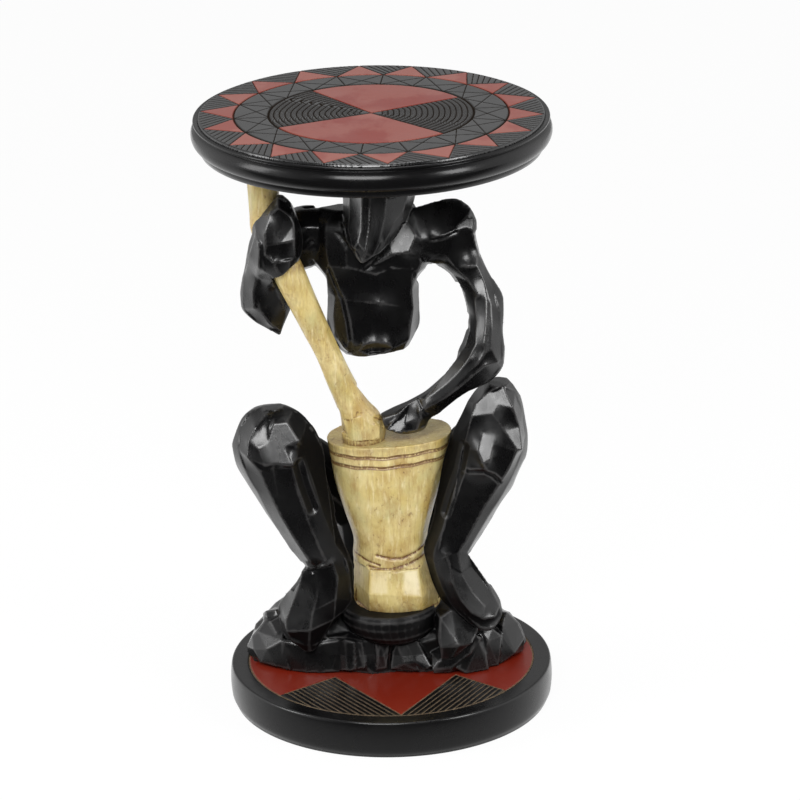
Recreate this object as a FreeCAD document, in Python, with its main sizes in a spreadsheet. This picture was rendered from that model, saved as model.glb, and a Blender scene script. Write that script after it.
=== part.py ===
import FreeCAD, Part
import Sketcher
import math
import os

# A carved side table: a round top on the head of a squatting figure that works a pestle
# in a mortar, on a faceted rock and a round base. X runs to the right, Y to the back, Z up.
# The origin is on the floor, under the centre of the round top.

sizes = {
    # overall
    "table_height": 532.0,
    "top_thickness": 29.0,
    "base_thickness": 33.0,
    # edge of the round top: heights from the face down, and how far in each step is from the rim
    "top_radius": 152.5,
    "face_inset": 7.1,
    "rim_groove_inset": 5.7,
    "rim_groove_depth": 1.9,
    "bead_drop": 1.8,
    "bead_height": 2.8,
    "bead_inset": 3.1,
    "bead_swell": 1.1,
    "bead_gap": 1.4,
    "bulge_height": 12.8,
    "bulge_swell": 3.5,
    "bulge_gap": 1.4,
    "band_inset": 4.7,
    "underside_inset": 8.1,
    "edge_groove_depth": 0.9,
    # round grooves in the top face and the base face
    "pattern_ring_radius": 115.8,
    "centre_ring_radius": 86.4,
    "ring_groove_width": 1.6,
    "ring_groove_depth": 0.9,
    # base board
    "base_radius": 141.5,
    "base_foot_inset": 3.5,
    "base_foot_height": 6.0,
    "base_wall_swell": 0.9,
    "base_wall_drop": 7.0,
    "base_shoulder_inset": 1.9,
    "base_shoulder_drop": 1.8,
    "base_face_inset": 4.1,
    "base_shift": 9.0,
    "field_ring_radius": 125.0,
    # space that the carving fills between the boards
    "carving_half_width": 125.0,
    "carving_half_depth": 50.0,
    # largest half sizes of the carved pieces
    "head_half_width": 31.5,
    "head_half_depth": 33.5,
    "torso_half_width": 56.0,
    "torso_half_depth": 26.0,
    "upper_arm_half_width": 33.0,
    "upper_arm_half_depth": 21.0,
    "forearm_half_width": 20.5,
    "forearm_half_depth": 18.0,
    "raised_forearm_half_width": 22.5,
    "raised_forearm_half_depth": 20.0,
    "fist_half_width": 23.5,
    "fist_half_depth": 25.0,
    "pestle_radius": 13.5,
    "mortar_half_width": 53.5,
    "mortar_half_depth": 36.0,
    "mortar_band_width": 9.4,
    "mortar_groove_width": 3.0,
    "mortar_groove_depth": 1.3,
    "thigh_half_width": 28.0,
    "thigh_half_depth": 28.0,
    "shin_half_width": 40.0,
    "shin_half_depth": 29.0,
    "hips_half_width": 56.0,
    "hips_half_depth": 30.0,
    "rock_half_width": 124.0,
    "rock_half_depth": 62.0,
    "rock_height": 58.0,
    "rock_shift_x": 6.0,
    "rock_shift_y": 25.0,
    # dowels and screws
    "small_dowel_diameter": 8.0,
    "dowel_diameter": 10.0,
    "mortar_dowel_diameter": 16.0,
    "short_dowel_length": 34.0,
    "dowel_length": 42.0,
    "top_dowel_spacing": 28.0,
    "top_dowel_seat": 18.0,
    "dowel_fit": 0.1,
    "dowel_end_room": 0.5,
    "screw_diameter": 4.5,
    "screw_head_diameter": 9.0,
    "screw_head_height": 3.5,
    "screw_length": 44.0,
    "screw_recess": 6.0,
    "screw_hole_fit": 0.3,
    "screw_spacing_x": 124.0,
    "screw_spacing_y": 48.0,
}

doc = FreeCAD.newDocument("CarvedSideTable")
sheet = doc.addObject("Spreadsheet::Sheet", "Sizes")
for row, (alias, number) in enumerate(sizes.items(), 1):
    sheet.set(f"A{row}", alias)
    sheet.set(f"B{row}", str(number))
    sheet.setAlias(f"B{row}", alias)
doc.recompute()


def measure(expression):
    return float(sheet.evalExpression(expression))


def length(alias):
    return measure(f"Sizes.{alias}")


# Part of the height that lies between the two boards.
underside = length("table_height") - length("top_thickness")
carving_height = underside - length("base_thickness")


def place(x_share, y_share, z_share):
    return FreeCAD.Vector(
        x_share * length("carving_half_width"),
        y_share * length("carving_half_depth"),
        length("base_thickness") + z_share * carving_height,
    )


# Sketch helpers for the turned boards

def plane_of(body, role):
    return [plane for plane in body.Origin.OriginFeatures if plane.Role == role][0]


def new_sketch(body, name, role):
    sketch = body.newObject("Sketcher::SketchObject", name)
    sketch.AttachmentSupport = [(plane_of(body, role), "")]
    sketch.MapMode = "FlatFace"
    return sketch


def bind(sketch, constraint, expression):
    index = sketch.addConstraint(constraint)
    sketch.setExpression(f"Constraints[{index}]", expression)


def pin_point(sketch, geometry, point, x_expression, y_expression):
    # Ties a point to the sketch origin, measured towards the side it lies on.
    for kind, axis, expression in (("DistanceX", -2, x_expression), ("DistanceY", -1, y_expression)):
        amount = measure(expression)
        if abs(amount) == 0:
            sketch.addConstraint(Sketcher.Constraint("PointOnObject", geometry, point, axis))
        elif amount > 0:
            bind(sketch, Sketcher.Constraint(kind, -1, 1, geometry, point, amount), expression)
        else:
            bind(sketch, Sketcher.Constraint(kind, geometry, point, -1, 1, -amount), f"-({expression})")


def turned_profile(sketch, corners):
    # Each corner is (radius, height, swell). A swell makes the edge to the next corner an arc
    # that stands that far out between two corners of one radius.
    spots = [FreeCAD.Vector(measure(radius), measure(height), 0) for radius, height, swell in corners]
    for index, (radius, height, swell) in enumerate(corners):
        start = spots[index]
        end = spots[(index + 1) % len(spots)]
        if swell is None:
            sketch.addGeometry(Part.LineSegment(start, end))
        else:
            half = (end.y - start.y) / 2
            sagitta = measure(swell)
            bow = (sagitta ** 2 + half ** 2) / (2 * sagitta)
            middle = FreeCAD.Vector(start.x + sagitta - bow, (start.y + end.y) / 2, 0)
            angle = math.asin(half / bow)
            circle = Part.Circle(middle, FreeCAD.Vector(0, 0, 1), bow)
            sketch.addGeometry(Part.ArcOfCircle(circle, -angle, angle))
            rise = f"(({corners[index + 1][1]}) - ({height}))"
            radius_rule = f"(pow({swell}; 2) + pow({rise} / 2; 2)) / (2 * ({swell}))"
            bind(sketch, Sketcher.Constraint("Radius", index, bow), radius_rule)
    for index, (radius, height, swell) in enumerate(corners):
        following = (index + 1) % len(corners)
        sketch.addConstraint(Sketcher.Constraint("Coincident", index, 2, following, 1))
        pin_point(sketch, index, 1, radius, height)


def revolve(body, sketch, kind, name):
    turned = body.newObject(kind, name)
    turned.Profile = sketch
    turned.ReferenceAxis = (sketch, ["V_Axis"])
    turned.Angle = 360


def ring_groove(body, name, radius, face_height):
    # A vee cut round the axis; its open side lies on the face.
    sketch = new_sketch(body, f"{name}_outline", "XZ_Plane")
    half = "Sizes.ring_groove_width / 2"
    deep = f"({face_height}) - Sizes.ring_groove_depth"
    turned_profile(sketch, [
        (f"{radius} - {half}", face_height, None),
        (radius, deep, None),
        (f"{radius} + {half}", face_height, None),
    ])
    revolve(body, sketch, "PartDesign::Groove", name)


def bores_from_below(body, name, diameter, centres, depth):
    sketch = new_sketch(body, f"{name}_circles", "XY_Plane")
    radius = f"({diameter}) / 2"
    for index, (x_expression, y_expression) in enumerate(centres):
        middle = FreeCAD.Vector(measure(x_expression), measure(y_expression), 0)
        sketch.addGeometry(Part.Circle(middle, FreeCAD.Vector(0, 0, 1), measure(radius)))
        pin_point(sketch, index, 3, x_expression, y_expression)
        bind(sketch, Sketcher.Constraint("Radius", index, measure(radius)), radius)
    pocket = body.newObject("PartDesign::Pocket", name)
    pocket.Profile = sketch
    pocket.Reversed = True
    pocket.setExpression("Length", depth)


# Section shapes of the carved limbs: (across, deep) shares of the half sizes, round the limb
# from its outer edge over the front to its inner edge and back.

head_section_shares = [
    (-1, -0.35), (-0.74, -0.80), (-0.35, -1), (0.25, -0.94), (0.75, -0.52),
    (1, 0.10), (0.80, 0.80), (0.20, 1), (-0.60, 0.90), (-1, 0.35),
]
torso_section_shares = [
    (-1, -0.15), (-0.72, -0.80), (-0.42, -1), (0.35, -0.92), (0.82, -0.62),
    (1, 0.10), (0.70, 0.85), (0, 1), (-0.70, 0.85), (-1, 0.30),
]
arm_section_shares = [
    (-1, 0), (-0.68, -0.72), (0, -1), (0.55, -0.78),
    (1, -0.10), (0.70, 0.75), (0, 1), (-0.70, 0.70),
]
leg_section_shares = [
    (-1, 0.12), (-0.64, -0.80), (0.10, -1), (0.62, -0.55),
    (1, 0.30), (0.60, 0.95), (-0.10, 1), (-0.75, 0.80),
]
hips_section_shares = [
    (-0.30, -1), (0.30, -1), (0.76, -0.72), (1, -0.05), (0.88, 0.55), (0.48, 0.98),
    (0, 0.80), (-0.48, 0.98), (-0.88, 0.55), (-1, -0.05), (-0.76, -0.72),
]


def oval_section_shares(count, squareness):
    # Corners evenly spaced round a full oval; a squareness above 1 fills its corners out.
    corners = []
    for step in range(count):
        angle = 2 * math.pi * (step + 0.5) / count
        across = math.copysign(abs(math.cos(angle)) ** (1 / squareness), math.cos(angle))
        deep = math.copysign(abs(math.sin(angle)) ** (1 / squareness), math.sin(angle))
        corners.append((across, deep))
    return corners


# Stations of the carved pieces. Each gives x, y and z as shares of the carving space, the half
# width and half depth as shares of the piece's own, and the lean of the width in degrees.

head_station_shares = [
    (0.056, 0.06, 1.000, 0.98, 0.93, 0),
    (0.052, -0.02, 0.930, 1.00, 0.985, 0),
    (0.032, -0.13, 0.881, 0.92, 1.00, 0),
    (0.000, -0.31, 0.851, 0.76, 0.88, 2),
    (-0.028, -0.55, 0.828, 0.49, 0.58, 2),
    (-0.064, -0.80, 0.811, 0.13, 0.18, 0),
]
torso_station_shares = [
    (0.016, -0.02, 0.613, 0.49, 0.58, 7),
    (-0.008, -0.04, 0.638, 0.64, 0.85, 4),
    (-0.008, -0.06, 0.668, 0.71, 0.96, 0),
    (-0.006, -0.06, 0.721, 0.70, 1.00, 0),
    (-0.008, -0.06, 0.755, 0.72, 1.00, 0),
    (-0.016, -0.04, 0.774, 0.86, 0.96, 0),
    (0.000, 0.00, 0.832, 1.00, 0.92, 0),
    (0.000, 0.04, 0.866, 0.965, 0.81, 0),
    (0.000, 0.08, 0.883, 0.79, 0.46, 0),
]
left_upper_arm_station_shares = [
    (0.264, 0.10, 0.819, 0.79, 0.86, 92),
    (0.424, 0.10, 0.832, 0.89, 0.95, 84),
    (0.552, 0.06, 0.826, 1.00, 1.00, 78),
    (0.624, 0.00, 0.801, 0.89, 0.95, 71),
    (0.656, -0.08, 0.766, 0.68, 0.86, 69),
    (0.704, -0.20, 0.732, 0.60, 0.81, 60),
    (0.750, -0.36, 0.694, 0.63, 0.81, 39),
    (0.728, -0.52, 0.652, 0.57, 0.81, 17),
    (0.716, -0.62, 0.620, 0.64, 0.81, -15),
]
left_forearm_station_shares = [
    (0.636, -0.62, 0.585, 0.87, 0.94, -23),
    (0.504, -0.58, 0.551, 0.66, 0.78, -36),
    (0.380, -0.52, 0.522, 0.63, 0.67, -54),
    (0.308, -0.44, 0.505, 0.71, 0.78, -68),
    (0.168, -0.38, 0.481, 0.78, 0.83, -66),
    (0.040, -0.34, 0.470, 0.68, 0.72, -66),
]
right_upper_arm_station_shares = [
    (-0.264, 0.10, 0.819, 0.79, 0.86, 90),
    (-0.400, 0.10, 0.827, 0.83, 0.95, 90),
    (-0.528, 0.14, 0.819, 0.88, 0.95, 94),
    (-0.648, 0.20, 0.794, 0.83, 0.90, 109),
    (-0.728, 0.20, 0.752, 0.68, 0.81, 125),
    (-0.752, 0.08, 0.723, 0.45, 0.62, 131),
]
right_forearm_station_shares = [
    (-0.652, -0.08, 0.649, 0.13, 0.20, 0),
    (-0.712, -0.08, 0.668, 0.53, 0.60, -7),
    (-0.744, -0.06, 0.690, 0.89, 0.85, -6),
    (-0.740, -0.08, 0.722, 1.00, 1.00, -3),
    (-0.724, -0.20, 0.773, 0.91, 1.00, -4),
    (-0.712, -0.34, 0.819, 0.76, 0.90, -3),
    (-0.672, -0.44, 0.866, 0.44, 0.60, 0),
]
fist_station_shares = [
    (-0.624, -0.56, 0.788, 0.66, 0.68, 25),
    (-0.664, -0.54, 0.813, 0.99, 0.92, 10),
    (-0.656, -0.54, 0.848, 0.98, 1.00, 4),
    (-0.644, -0.56, 0.882, 0.79, 0.88, -2),
    (-0.616, -0.58, 0.911, 0.43, 0.56, 0),
    (-0.620, -0.60, 0.930, 0.11, 0.16, 0),
]
pestle_station_shares = [
    (-0.752, -0.24, 1.000, 0.96, 0.96, 0),
    (-0.728, -0.36, 0.898, 0.985, 0.985, 4),
    (-0.712, -0.42, 0.857, 1.00, 1.00, 12),
    (-0.592, -0.48, 0.789, 1.02, 1.02, 24),
    (-0.472, -0.44, 0.713, 0.89, 0.89, 23),
    (-0.336, -0.40, 0.628, 0.80, 0.80, 22),
    (-0.240, -0.34, 0.564, 0.86, 0.86, 20),
    (-0.168, -0.28, 0.509, 0.96, 0.96, 18),
    (-0.120, -0.24, 0.474, 1.18, 1.18, 8),
    (-0.084, -0.20, 0.440, 1.37, 1.37, 3),
]
mortar_station_shares = [
    (0.128, 0.00, 0.113, 0.68, 0.81, 0),
    (0.128, 0.00, 0.126, 0.72, 0.89, 0),
    (0.128, 0.00, 0.160, 0.71, 0.90, 0),
    (0.112, 0.00, 0.189, 0.645, 0.83, 0),
    (0.084, 0.00, 0.211, 0.617, 0.76, 0),
    (0.080, 0.00, 0.249, 0.60, 0.75, 0),
    (0.072, 0.00, 0.306, 0.73, 0.82, 0),
    (0.076, 0.00, 0.366, 0.87, 0.90, 1.5),
    (0.084, 0.00, 0.449, 1.00, 1.00, 3.2),
]
right_shin_station_shares = [
    (-0.708, -0.36, 0.519, 0.23, 0.28, 0),
    (-0.712, -0.40, 0.503, 0.60, 0.69, -1),
    (-0.694, -0.46, 0.467, 0.89, 0.93, -1),
    (-0.684, -0.48, 0.433, 0.99, 1.00, -3),
    (-0.656, -0.48, 0.392, 0.985, 0.93, -8),
    (-0.584, -0.48, 0.339, 0.89, 0.79, -10),
    (-0.500, -0.48, 0.283, 0.745, 0.69, -9),
    (-0.412, -0.48, 0.236, 0.64, 0.59, -4),
    (-0.360, -0.48, 0.210, 0.55, 0.55, 3),
    (-0.376, -0.50, 0.175, 0.625, 0.62, -2),
    (-0.420, -0.52, 0.146, 0.76, 0.69, -3),
    (-0.468, -0.56, 0.122, 0.76, 0.72, -2),
    (-0.512, -0.62, 0.081, 0.51, 0.59, 4),
    (-0.496, -0.68, 0.049, 0.15, 0.21, 0),
]
left_shin_station_shares = [
    (0.838, -0.44, 0.564, 0.24, 0.41, -1),
    (0.820, -0.44, 0.538, 0.505, 0.72, 2),
    (0.796, -0.48, 0.496, 0.70, 0.90, 3),
    (0.768, -0.50, 0.452, 0.85, 1.00, 4),
    (0.734, -0.50, 0.405, 0.91, 0.97, 6),
    (0.668, -0.50, 0.351, 0.84, 0.83, 7),
    (0.584, -0.50, 0.297, 0.71, 0.69, 8),
    (0.504, -0.50, 0.248, 0.61, 0.59, 8),
    (0.480, -0.50, 0.220, 0.505, 0.52, 9),
    (0.516, -0.52, 0.189, 0.52, 0.55, 11),
    (0.596, -0.54, 0.152, 0.62, 0.62, 7),
    (0.668, -0.58, 0.120, 0.59, 0.59, 0),
    (0.716, -0.68, 0.096, 0.34, 0.41, -2),
    (0.744, -0.74, 0.086, 0.09, 0.14, 0),
]
right_thigh_station_shares = [
    (-0.704, -0.20, 0.449, 0.71, 0.64, 40),
    (-0.584, 0.24, 0.406, 0.86, 0.86, 42),
    (-0.456, 0.60, 0.362, 0.93, 0.96, 43),
    (-0.336, 0.84, 0.317, 1.00, 1.00, 45),
    (-0.200, 0.94, 0.274, 0.93, 0.89, 45),
    (-0.064, 0.94, 0.232, 0.71, 0.64, 45),
]
left_thigh_station_shares = [
    (0.832, -0.24, 0.479, 0.71, 0.64, -40),
    (0.720, 0.20, 0.430, 0.82, 0.86, -42),
    (0.600, 0.56, 0.379, 0.89, 0.96, -43),
    (0.464, 0.82, 0.330, 1.00, 1.00, -45),
    (0.336, 0.94, 0.283, 0.93, 0.89, -45),
    (0.208, 0.94, 0.238, 0.71, 0.64, -45),
]
hips_station_shares = [
    (0.080, 0.90, 0.108, 0.70, 0.66, 0),
    (0.080, 0.98, 0.150, 0.86, 0.92, 0),
    (0.080, 1.02, 0.210, 0.97, 1.00, 0),
    (0.080, 1.00, 0.270, 1.00, 0.95, 0),
    (0.080, 0.90, 0.330, 0.86, 0.74, 0),
    (0.080, 0.80, 0.376, 0.55, 0.42, 0),
]

# Rock: outline on the base as shares of its half sizes, then for each level above it how far
# out each corner stands on its ray and how high it is.

rock_outline_shares = [
    (1.00, 0.06), (0.95, -0.24), (0.81, -0.50), (0.69, -0.79), (0.48, -0.85),
    (0.27, -0.98), (0.08, -0.94), (-0.11, -1.02), (-0.31, -0.89), (-0.55, -0.81),
    (-0.77, -0.63), (-0.95, -0.50), (-1.00, -0.18), (-0.95, 0.31), (-0.73, 0.69),
    (-0.42, 0.92), (-0.08, 0.95), (0.24, 1.02), (0.58, 0.85), (0.85, 0.50),
]
rock_level_shares = [
    [
        (0.95, 0.30), (0.88, 0.44), (0.99, 0.52), (0.90, 0.44), (1.00, 0.56),
        (0.90, 0.44), (0.98, 0.60), (0.88, 0.46), (1.00, 0.56), (0.94, 0.36),
        (1.00, 0.42), (0.90, 0.30), (0.94, 0.46), (0.88, 0.36), (0.97, 0.50),
        (0.90, 0.40), (0.98, 0.54), (0.90, 0.38), (0.97, 0.50), (0.88, 0.36),
    ],
    [
        (0.80, 0.60), (0.86, 0.74), (0.94, 0.78), (1.06, 0.80), (1.08, 0.84),
        (1.02, 0.72), (1.08, 0.76), (1.02, 0.70), (1.06, 0.62), (1.16, 0.54),
        (1.06, 0.52), (0.88, 0.62), (0.80, 0.66), (0.84, 0.62), (0.82, 0.80),
        (0.88, 0.68), (0.86, 0.82), (0.84, 0.68), (0.84, 0.80), (0.78, 0.64),
    ],
    [
        (0.54, 0.84), (0.60, 0.88), (0.70, 0.92), (0.82, 0.90), (0.94, 0.96),
        (1.00, 0.92), (1.04, 0.90), (1.00, 0.90), (0.96, 0.84), (0.90, 0.78),
        (0.72, 0.80), (0.64, 0.86), (0.54, 0.82), (0.56, 0.94), (0.60, 1),
        (0.62, 0.92), (0.66, 1), (0.62, 0.92), (0.58, 0.96), (0.54, 0.88),
    ],
]


# Solids from rings of corners

def station_ring(station, half_width, half_depth, section_shares, side):
    x_share, y_share, z_share, width_share, depth_share, lean = station
    middle = place(x_share, y_share, z_share)
    angle = math.radians(lean)
    across = FreeCAD.Vector(math.cos(angle), 0, math.sin(angle)) * (side * half_width * width_share)
    deep = FreeCAD.Vector(0, half_depth * depth_share, 0)
    return [middle + across * out_share + deep * back_share for out_share, back_share in section_shares]


def average(points):
    total = FreeCAD.Vector(0, 0, 0)
    for point in points:
        total = total + point
    return total / len(points)


def facet_solid(rings):
    # Flat three-cornered facets between neighbouring rings; of a facet pair's two diagonals the
    # one that stands further out is used, so the form stays full.
    faces = []
    for lower, upper in zip(rings, rings[1:]):
        core = average(lower + upper)
        for index in range(len(lower)):
            following = (index + 1) % len(lower)
            a, b = lower[index], lower[following]
            d, c = upper[index], upper[following]
            if ((a + c) / 2 - core).Length > ((b + d) / 2 - core).Length:
                corners = [(a, b, c), (a, c, d)]
            else:
                corners = [(a, b, d), (b, c, d)]
            faces.extend(Part.Face(Part.makePolygon([p, q, r, p])) for p, q, r in corners)
    for ring in (rings[0], rings[-1]):
        hub = average(ring)
        for index in range(len(ring)):
            p, q = ring[index], ring[(index + 1) % len(ring)]
            faces.append(Part.Face(Part.makePolygon([hub, p, q, hub])))
    shell = Part.makeShell(faces)
    shell.sewShape()
    solid = Part.makeSolid(shell)
    if solid.Volume < 0:
        solid.reverse()
    return solid


def feature(name, shape):
    item = doc.addObject("Part::Feature", name)
    item.Shape = shape
    return item


def limb_rings(stations, piece, section_shares, side=1):
    half_width = length(f"{piece}_half_width")
    half_depth = length(f"{piece}_half_depth")
    return [station_ring(station, half_width, half_depth, section_shares, side) for station in stations]


def limb(name, stations, piece, section_shares, side=1):
    return feature(name, facet_solid(limb_rings(stations, piece, section_shares, side)))


def pare(label, base, tools):
    # Cuts each tool from the base in turn; the last cut is the finished piece.
    result = base
    for index, tool in enumerate(tools):
        cut = doc.addObject("Part::Cut", f"{label}_cut_{index}")
        cut.Base = result
        cut.Tool = tool
        result = cut
    doc.recompute()
    return result


def rod(name, start, direction, radius, height):
    cylinder = doc.addObject("Part::Cylinder", name)
    cylinder.setExpression("Radius", radius)
    cylinder.setExpression("Height", height)
    turn = FreeCAD.Rotation(FreeCAD.Vector(0, 0, 1), direction)
    cylinder.Placement = FreeCAD.Placement(start, turn)
    return cylinder


def dowel(name, middle, direction, diameter, span):
    # A pin and the bore that it is glued in, centred on one point.
    heading = FreeCAD.Vector(direction)
    heading.normalize()
    bore_span = f"{span} + 2 * Sizes.dowel_end_room"
    pin = rod(f"{name}_pin", middle - heading * (measure(span) / 2), heading, f"{diameter} / 2", span)
    bore = rod(
        f"{name}_bore",
        middle - heading * (measure(bore_span) / 2),
        heading,
        f"{diameter} / 2 + Sizes.dowel_fit",
        bore_span,
    )
    return pin, bore


def station_point(station):
    return place(*station[:3])


small = "Sizes.small_dowel_diameter"
medium = "Sizes.dowel_diameter"
large = "Sizes.mortar_dowel_diameter"
short = "Sizes.short_dowel_length"
long = "Sizes.dowel_length"
up = FreeCAD.Vector(0, 0, 1)

# Dowels between the top and what carries it
head_top = station_point(head_station_shares[0])
pestle_top = station_point(pestle_station_shares[0])
top_pins = []
top_bores = []
for name, side in (("top_left", 1), ("top_right", -1)):
    shift = FreeCAD.Vector(
        side * length("top_dowel_spacing") / 2, 0, length("top_dowel_seat") - length("dowel_length") / 2,
    )
    pin, bore = dowel(name, head_top + shift, up, medium, long)
    top_pins.append(pin)
    top_bores.append(bore)
pestle_shift = FreeCAD.Vector(0, 0, length("top_dowel_seat") - length("short_dowel_length") / 2)
pestle_pin, pestle_bore = dowel("pestle", pestle_top + pestle_shift, up, small, short)

# Dowels inside the figure; their middles are shares of the carving space
neck_joint_shares = (0.032, 0.04, 0.840)
shoulder_joint_shares = {"left": (0.44, 0.08, 0.823), "right": (-0.44, 0.08, 0.823)}
foot_joint_shares = {"left": (0.64, -0.34, 0.096), "right": (-0.456, -0.34, 0.083)}
foot_joint_slope_shares = (0, 0.5, -1)
neck_pin, neck_bore = dowel("neck", place(*neck_joint_shares), up, medium, long)
shoulder = {
    side: dowel(f"{side}_shoulder", place(*shares), FreeCAD.Vector(1, 0, 0), medium, short)
    for side, shares in shoulder_joint_shares.items()
}
left_elbow = dowel(
    "left_elbow",
    station_point(left_upper_arm_station_shares[-1]),
    station_point(left_forearm_station_shares[0]) - station_point(left_upper_arm_station_shares[-2]),
    small,
    short,
)
right_elbow = dowel(
    "right_elbow",
    (station_point(right_upper_arm_station_shares[4]) + station_point(right_forearm_station_shares[3])) / 2,
    station_point(right_forearm_station_shares[3]) - station_point(right_upper_arm_station_shares[3]),
    small,
    short,
)
knee = {}
hip = {}
for side, stations in (("left", left_thigh_station_shares), ("right", right_thigh_station_shares)):
    knee_end = station_point(stations[1])
    above_knee = station_point(stations[2])
    hip_end = station_point(stations[4])
    knee[side] = dowel(f"{side}_knee", (knee_end + above_knee) / 2, above_knee - knee_end, medium, short)
    towards_hip = station_point(stations[5]) - station_point(stations[3])
    hip[side] = dowel(f"{side}_hip", hip_end, towards_hip, medium, long)
foot = {
    side: dowel(f"{side}_foot", place(*shares), FreeCAD.Vector(*foot_joint_slope_shares), small, short)
    for side, shares in foot_joint_shares.items()
}
seat_pin, seat_bore = dowel("seat", station_point(hips_station_shares[0]), up, medium, long)
mortar_pin, mortar_bore = dowel("mortar", station_point(mortar_station_shares[0]), up, large, long)

# Round top, turned, with round grooves and blind bores for its dowels
top_board = doc.addObject("PartDesign::Body", "top_board")
top_board.setExpression(".Placement.Base.z", "Sizes.table_height - Sizes.top_thickness")
top_outline = new_sketch(top_board, "top_outline", "XZ_Plane")
rim = "Sizes.top_radius"
bead_end = "Sizes.top_thickness - Sizes.bead_drop"
bead_start = f"{bead_end} - Sizes.bead_height"
bulge_end = f"{bead_start} - Sizes.bead_gap"
bulge_start = f"{bulge_end} - Sizes.bulge_height"
band_end = f"{bulge_start} - Sizes.bulge_gap"
bulge_root = f"{rim} - Sizes.bulge_swell"
bead_root = f"{rim} - Sizes.bead_inset"
turned_profile(top_outline, [
    ("0", "0", None),
    (f"{rim} - Sizes.underside_inset", "0", None),
    (f"{rim} - Sizes.band_inset", band_end, None),
    (f"{rim} - Sizes.band_inset - Sizes.edge_groove_depth", f"{band_end} + Sizes.bulge_gap / 2", None),
    (bulge_root, bulge_start, "Sizes.bulge_swell"),
    (bulge_root, bulge_end, None),
    (f"{bulge_root} - Sizes.edge_groove_depth", f"{bulge_end} + Sizes.bead_gap / 2", None),
    (bead_root, bead_start, "Sizes.bead_swell"),
    (bead_root, bead_end, None),
    (f"{rim} - Sizes.rim_groove_inset", "Sizes.top_thickness - Sizes.rim_groove_depth", None),
    (f"{rim} - Sizes.face_inset", "Sizes.top_thickness", None),
    ("0", "Sizes.top_thickness", None),
])
revolve(top_board, top_outline, "PartDesign::Revolution", "top_turned")
ring_groove(top_board, "pattern_ring", "Sizes.pattern_ring_radius", "Sizes.top_thickness")
ring_groove(top_board, "centre_ring", "Sizes.centre_ring_radius", "Sizes.top_thickness")
head_x = f"Sizes.carving_half_width * {head_station_shares[0][0]}"
head_y = f"Sizes.carving_half_depth * {head_station_shares[0][1]}"
bores_from_below(
    top_board,
    "head_dowel_bores",
    f"{medium} + 2 * Sizes.dowel_fit",
    [(f"{head_x} {sign} Sizes.top_dowel_spacing / 2", head_y) for sign in ("+", "-")],
    "Sizes.top_dowel_seat + Sizes.dowel_end_room",
)
bores_from_below(
    top_board,
    "pestle_dowel_bore",
    f"{small} + 2 * Sizes.dowel_fit",
    [(
        f"Sizes.carving_half_width * ({pestle_station_shares[0][0]})",
        f"Sizes.carving_half_depth * ({pestle_station_shares[0][1]})",
    )],
    "Sizes.top_dowel_seat + Sizes.dowel_end_room",
)

# Base board, turned, with a groove round the painted field and screw holes from below
base_board = doc.addObject("PartDesign::Body", "base_board")
base_board.setExpression(".Placement.Base.x", "Sizes.base_shift")
base_outline = new_sketch(base_board, "base_outline", "XZ_Plane")
base_wall = "Sizes.base_radius - Sizes.base_wall_swell"
turned_profile(base_outline, [
    ("0", "0", None),
    ("Sizes.base_radius - Sizes.base_foot_inset", "0", None),
    (base_wall, "Sizes.base_foot_height", "Sizes.base_wall_swell"),
    (base_wall, "Sizes.base_thickness - Sizes.base_wall_drop", None),
    (
        "Sizes.base_radius - Sizes.base_shoulder_inset",
        "Sizes.base_thickness - Sizes.base_shoulder_drop",
        None,
    ),
    ("Sizes.base_radius - Sizes.base_face_inset", "Sizes.base_thickness", None),
    ("0", "Sizes.base_thickness", None),
])
revolve(base_board, base_outline, "PartDesign::Revolution", "base_turned")
ring_groove(base_board, "field_ring", "Sizes.field_ring_radius", "Sizes.base_thickness")
screw_spots = [
    (
        f"Sizes.rock_shift_x - Sizes.base_shift {x_sign} Sizes.screw_spacing_x / 2",
        f"Sizes.rock_shift_y {y_sign} Sizes.screw_spacing_y / 2",
    )
    for x_sign in ("-", "+") for y_sign in ("-", "+")
]
screw_clearance = "Sizes.screw_diameter + 2 * Sizes.screw_hole_fit"
bores_from_below(base_board, "screw_holes", screw_clearance, screw_spots, "Sizes.base_thickness")
bores_from_below(
    base_board,
    "screw_recesses",
    "Sizes.screw_head_diameter + 2 * Sizes.screw_hole_fit",
    screw_spots,
    "Sizes.screw_recess",
)

# Screws, and the pilot holes that they fill in the rock
screws = []
pilot_holes = []
head_floor = length("screw_recess") - length("screw_head_height")
for index, (x_expression, y_expression) in enumerate(screw_spots):
    across = measure(x_expression) + length("base_shift")
    foot_point = FreeCAD.Vector(across, measure(y_expression), head_floor)
    neck_point = foot_point + up * length("screw_head_height")
    screw_head = rod(
        f"screw_head_{index}", foot_point, up, "Sizes.screw_head_diameter / 2", "Sizes.screw_head_height",
    )
    shank = rod(f"screw_shank_{index}", neck_point, up, "Sizes.screw_diameter / 2", "Sizes.screw_length")
    screw = doc.addObject("Part::Fuse", f"screw_{index}")
    screw.Base = screw_head
    screw.Tool = shank
    screws.append(screw)
    pilot_hole = rod(
        f"pilot_hole_{index}",
        neck_point,
        up,
        "Sizes.screw_diameter / 2",
        "Sizes.screw_length + Sizes.dowel_end_room",
    )
    pilot_holes.append(pilot_hole)

# Carved blanks
doc.recompute()
head_blank = limb("head_blank", head_station_shares, "head", head_section_shares)
torso_blank = limb("torso_blank", torso_station_shares, "torso", torso_section_shares)
left_upper_arm_blank = limb(
    "left_upper_arm_blank", left_upper_arm_station_shares, "upper_arm", arm_section_shares,
)
right_upper_arm_blank = limb(
    "right_upper_arm_blank", right_upper_arm_station_shares, "upper_arm", arm_section_shares,
)
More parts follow.
